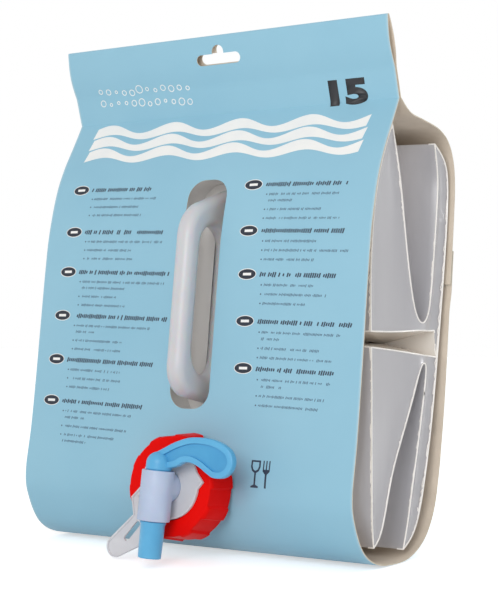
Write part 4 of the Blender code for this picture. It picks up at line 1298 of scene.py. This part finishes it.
# Key
# Blue moulding turned by its lever: a domed cap, a hollow plug through the barrel that ends
# in the spout, held up by a snap bead, and a flat lever with a raised rim.
KEY_DOME = 15.6 * MM
KEY_DOME_HEIGHT = 11 * MM
SPOUT_BORE = 9.2 * MM
SPOUT_DROP = 42.5 * MM
SPOUT_ROUNDING = 0.5 * MM
BORE_TOP = 4.8 * MM
PORT_RADIUS = 4 * MM
SNAP_BEAD = 0.5 * MM
LEVER_REACH = 54 * MM
LEVER_HEIGHT = 32 * MM
LEVER_THICKNESS = 5 * MM
LEVER_RIM = 3.6 * MM
LEVER_WEB = 2.4 * MM
LEVER_CUT = 4 * MM
LEVER_SHARES = [(-0.02, 0.40), (-0.06, 0.58), (0.08, 0.74), (0.24, 0.88), (0.42, 0.98),
                (0.62, 1.00), (0.80, 0.95), (0.94, 0.83), (1.00, 0.64), (0.97, 0.44),
                (0.88, 0.32), (0.76, 0.30), (0.66, 0.37), (0.56, 0.46), (0.44, 0.52),
                (0.34, 0.50), (0.26, 0.42), (0.12, 0.36)]


def lever_outline(inset):
    """Comma shape of the lever, drawn in from its edge by an inset."""
    stations = [Vector((x * LEVER_REACH, y * LEVER_HEIGHT)) for x, y in LEVER_SHARES]
    path = smooth_path(stations[-1:] + stations + stations[:2], 6)[:-1]
    return [spot for spot in shifted(path, inset)
            if min((spot - place).length for place in path) >= inset * 0.99]


def lever_mesh():
    """Lever as a flat plate built of rings, so that its outer edge is rounded."""
    edge = LEVER_THICKNESS / 2
    rings = [(0.7 * MM, edge), (0.25 * MM, edge - 0.25 * MM), (0, edge - 0.8 * MM)]
    rings += [(inset, -height) for inset, height in rings[::-1]]
    made = bmesh.new()
    upper, lower = ring_stack(made, rings, lever_outline)
    made.faces.new(upper)
    made.faces.new(lower[::-1])
    bmesh.ops.recalc_face_normals(made, faces=made.faces)
    made.transform(lever_place)
    return mesh_from(made, "lever")


blue = finish("blue_moulding", srgb(98, 182, 226), srgb(84, 168, 216), 50, 0.7, 0.28, 0.00004)
# Painted shade: the lever's recesses take a darker blue than the rest of the one moulding.
recess_painted_shade = finish("recess_blue_painted_shade", srgb(78, 166, 214), srgb(66, 152, 204), 50, 0.7, 0.3, 0.00004)
plug = BARREL_BORE / 2 - FIT
dome_base = BARREL_TOP + FIT
bore = SPOUT_BORE / 2
ledge = -BARREL_BOTTOM - FIT
straight = KEY_DOME_HEIGHT * 0.35
round_part = KEY_DOME_HEIGHT - straight
dome_turns = [math.pi / 2 * i / 12 for i in range(13)]
key_profile = [(KEY_DOME / 2 * math.sin(turn), dome_base + straight + round_part * math.cos(turn))
               for turn in dome_turns]
key_profile += [(KEY_DOME / 2, dome_base + EDGE_ROUNDING),
                (KEY_DOME / 2 - EDGE_ROUNDING, dome_base),
                (plug, dome_base), (plug, ledge), (plug + SNAP_BEAD * 0.7, ledge - 0.15 * MM),
                (plug + SNAP_BEAD, ledge - FIT), (plug + SNAP_BEAD, ledge - 2 * SNAP_BEAD),
                (plug, ledge - 4 * SNAP_BEAD), (plug - FIT, -SPOUT_DROP + SPOUT_ROUNDING),
                (plug - FIT - SPOUT_ROUNDING, -SPOUT_DROP),
                (bore + EDGE_ROUNDING, -SPOUT_DROP), (bore, -SPOUT_DROP + EDGE_ROUNDING),
                (bore, BORE_TOP), (0, BORE_TOP)]
tap_lever = add_piece("tap_lever", lathe("key", key_profile, 96, barrel_place), blue)
port = lathe("port", [(0, 0), (PORT_RADIUS, 0), (PORT_RADIUS, -BARREL_OUTER),
                      (0, -BARREL_OUTER)], 48,
             barrel_place @ Matrix.Rotation(math.pi / 2, 4, "Y"))
cut_with(tap_lever, port, blue)
lever_place = barrel_place @ Matrix.Rotation(math.pi / 2, 4, "X")
plate = add_piece("plate", lever_mesh(), blue)
# The recesses' faces carry the darker blue of painted shade.
for low, high in ((LEVER_WEB / 2, LEVER_CUT), (-LEVER_CUT, -LEVER_WEB / 2)):
    cut_with(plate, extruded("recess", [lever_outline(LEVER_RIM)], low, high, lever_place),
             recess_painted_shade)
cut_with(tap_lever, plate.data, blue, operation="UNION")
bpy.data.objects.remove(plate, do_unlink=True)
smooth(tap_lever)
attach(tap_lever, "key")
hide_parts("tap_key")

# Strap
# Flat milky strap moulded in one: a ring that turns on the tap's stub, one plain ear, one ear
# with a hole, and a long slotted tongue, with a low rim along its outer edge.
STRAP_THICKNESS = 1.6 * MM
STRAP_WEB = 1.2 * MM
STRAP_RIM = (-0.1 * MM, -1.3 * MM)
RIM_ROOT = 0.1 * MM
RIM_HEIGHT = 0.2 * MM
STRAP_BEVEL = 0.25 * MM
STRAP_DISC = 42 * MM
STRAP_DISC_SHIFT = 2.2 * MM
STRAP_REACH = 60 * MM
STRAP_TIP = 13.2 * MM
STRAP_ANGLE = math.radians(226.4)
STRAP_TAPER = math.radians(20)
STRAP_ROOT = (30.4 * MM, math.radians(216.8))
STRAP_HEEL = (42.5 * MM, math.radians(242.4))
STRAP_FOOT_ANGLE = math.radians(265)
STRAP_SLOT = (15.5 * MM, 3.6 * MM)
STRAP_SLOT_REACH = 45.5 * MM
STRAP_SLOT_ANGLE = math.radians(229)
PLAIN_EAR = (26.3 * MM, math.radians(9), math.radians(14))
HOLED_EAR = (27.8 * MM, math.radians(196), math.radians(11))
STRAP_HOLE = 2.2 * MM
STRAP_HOLE_REACH = 21.7 * MM


def polar(reach, angle):
    return (reach * math.cos(angle), reach * math.sin(angle))


def strap_outlines():
    """Ring with its ears and tongue, then its holes: stub, slot and ear."""
    disc = STRAP_DISC / 2
    tip = STRAP_TIP / 2
    middle = polar(-STRAP_DISC_SHIFT, STRAP_ANGLE)
    outer = [polar(*PLAIN_EAR[:2])]
    outer += arc(middle, disc, PLAIN_EAR[1] + PLAIN_EAR[2], HOLED_EAR[1] - HOLED_EAR[2], 48)
    outer += [polar(*HOLED_EAR[:2]), polar(*STRAP_ROOT)]
    outer += arc(polar(STRAP_REACH - tip, STRAP_ANGLE), tip, STRAP_ANGLE - math.pi / 2,
                 STRAP_ANGLE + math.pi / 2 - STRAP_TAPER, 24)
    outer += [polar(*STRAP_HEEL)]
    outer += arc(middle, disc, STRAP_FOOT_ANGLE, 2 * math.pi + PLAIN_EAR[1] - PLAIN_EAR[2], 32)
    length, width = STRAP_SLOT
    along = STRAP_SLOT_REACH - length / 2
    slot = [((along + x) * math.cos(STRAP_SLOT_ANGLE) - y * math.sin(STRAP_SLOT_ANGLE),
             (along + x) * math.sin(STRAP_SLOT_ANGLE) + y * math.cos(STRAP_SLOT_ANGLE))
            for x, y in rounded_oblong(length, width, width / 2 - FIT, 6)]
    centre = polar(STRAP_HOLE_REACH, HOLED_EAR[1] + HOLED_EAR[2] / 3)
    hole = [(centre[0] + x, centre[1] + y) for x, y in circle(STRAP_HOLE / 2, 24)]
    return [outer, circle(STUB / 2 + FIT, 64), slot, hole]


strap_milky = finish("strap_moulding", srgb(240, 238, 240), srgb(228, 226, 230), 50, 0.7,
                     0.32, 0.00004)
tune(strap_milky, Transmission_Weight=0.3)
strap_low = nut_end + FIT
tether_strap = add_piece("tether_strap", extruded(
    "tether_strap", strap_outlines(), strap_low, strap_low + STRAP_WEB, neck_place),
    strap_milky)
edge_line = strap_outlines()[0]
cut_with(tether_strap, extruded("rim", [shifted(edge_line, inset) for inset in STRAP_RIM],
                                strap_low + STRAP_WEB - RIM_ROOT,
                                strap_low + STRAP_THICKNESS + RIM_HEIGHT, neck_place),
         strap_milky, operation="UNION")
softened = tether_strap.modifiers.new("soft_edges", "BEVEL")
softened.width = STRAP_BEVEL
softened.segments = 2
softened.limit_method = "ANGLE"
softened.angle_limit = math.radians(60)
settled(tether_strap)
smooth(tether_strap)
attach(tether_strap, "strap")
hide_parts("retaining_strap")

# Studio
# Pale floor under the standing sleeve, white all round, one large lamp in front on the right,
# a smaller one behind it for the open side, and the camera where the photo was taken from.
low_z = cad_box[0][2]
plane = bmesh.new()
bmesh.ops.create_grid(plane, x_segments=1, y_segments=1, size=4)
plane.transform(Matrix.Translation((0, 0, low_z - 0.0005)))
pale = bpy.data.materials.new("pale_floor")
pale.use_nodes = True
tune(pale, Base_Color=(0.9, 0.9, 0.9, 1), Roughness=0.8, Emission_Color=(1, 1, 1, 1))
floor = add_piece("floor", mesh_from(plane, "floor"), pale)


def seen_directly(tree, low, high, shader, strength):
    """Set a strength high for what the camera sees, also in gloss and through film."""
    rays = add_node(tree, "ShaderNodeLightPath")
    seen = add_node(tree, "ShaderNodeMath", operation="MAXIMUM")
    through = add_node(tree, "ShaderNodeMath", operation="MAXIMUM")
    level = add_node(tree, "ShaderNodeMapRange", {"To Min": low, "To Max": high})
    wire(tree, (rays, "Is Camera Ray", seen, 0), (rays, "Is Glossy Ray", seen, 1),
         (seen, 0, through, 0), (rays, "Is Transmission Ray", through, 1),
         (through, 0, level, "Value"), (level, 0, tree.nodes[shader], strength))


seen_directly(pale.node_tree, 0, 0.55, "Principled BSDF", "Emission Strength")
world = bpy.data.worlds.new("studio")
bpy.context.scene.world = world
world.use_nodes = True
world.node_tree.nodes["Background"].inputs["Color"].default_value = (1, 1, 1, 1)
seen_directly(world.node_tree, 0.55, 1.0, "Background", "Strength")


def lamp(name, place, aim, size, power):
    light = bpy.data.lights.new(name, "AREA")
    light.shape = "DISK"
    light.size = size
    light.energy = power
    made = bpy.data.objects.new(name, light)
    made.location = place
    made.rotation_euler = (Vector(aim) - Vector(place)).to_track_quat("-Z", "Y").to_euler()
    bpy.context.scene.collection.objects.link(made)


middle = (0, 0.02, -0.15)
lamp("key_lamp", (0.4, -1.3, 0.3), middle, size=0.7, power=7.5)
lamp("fill_lamp", (0.9, 1.1, 0.25), middle, size=0.35, power=4)

CAMERA_AZIMUTH = math.radians(34)
CAMERA_RISE = 0.00995
CAMERA_ROLL = math.radians(0.03)
CAMERA_PLACE = (0.5556, -0.7913, -0.1658)
camera_data = bpy.data.cameras.new("camera")
camera_data.sensor_fit = "VERTICAL"
camera_data.sensor_height = 36
camera_data.lens = 89.97
camera = bpy.data.objects.new("camera", camera_data)
look = Vector((-math.sin(CAMERA_AZIMUTH), math.cos(CAMERA_AZIMUTH), CAMERA_RISE))
camera.matrix_world = (Matrix.Translation(CAMERA_PLACE)
                       @ look.to_track_quat("-Z", "Y").to_matrix().to_4x4()
                       @ Matrix.Rotation(CAMERA_ROLL, 4, "Z"))
bpy.context.scene.collection.objects.link(camera)
bpy.context.scene.camera = camera
bpy.context.scene.view_settings.view_transform = "Standard"
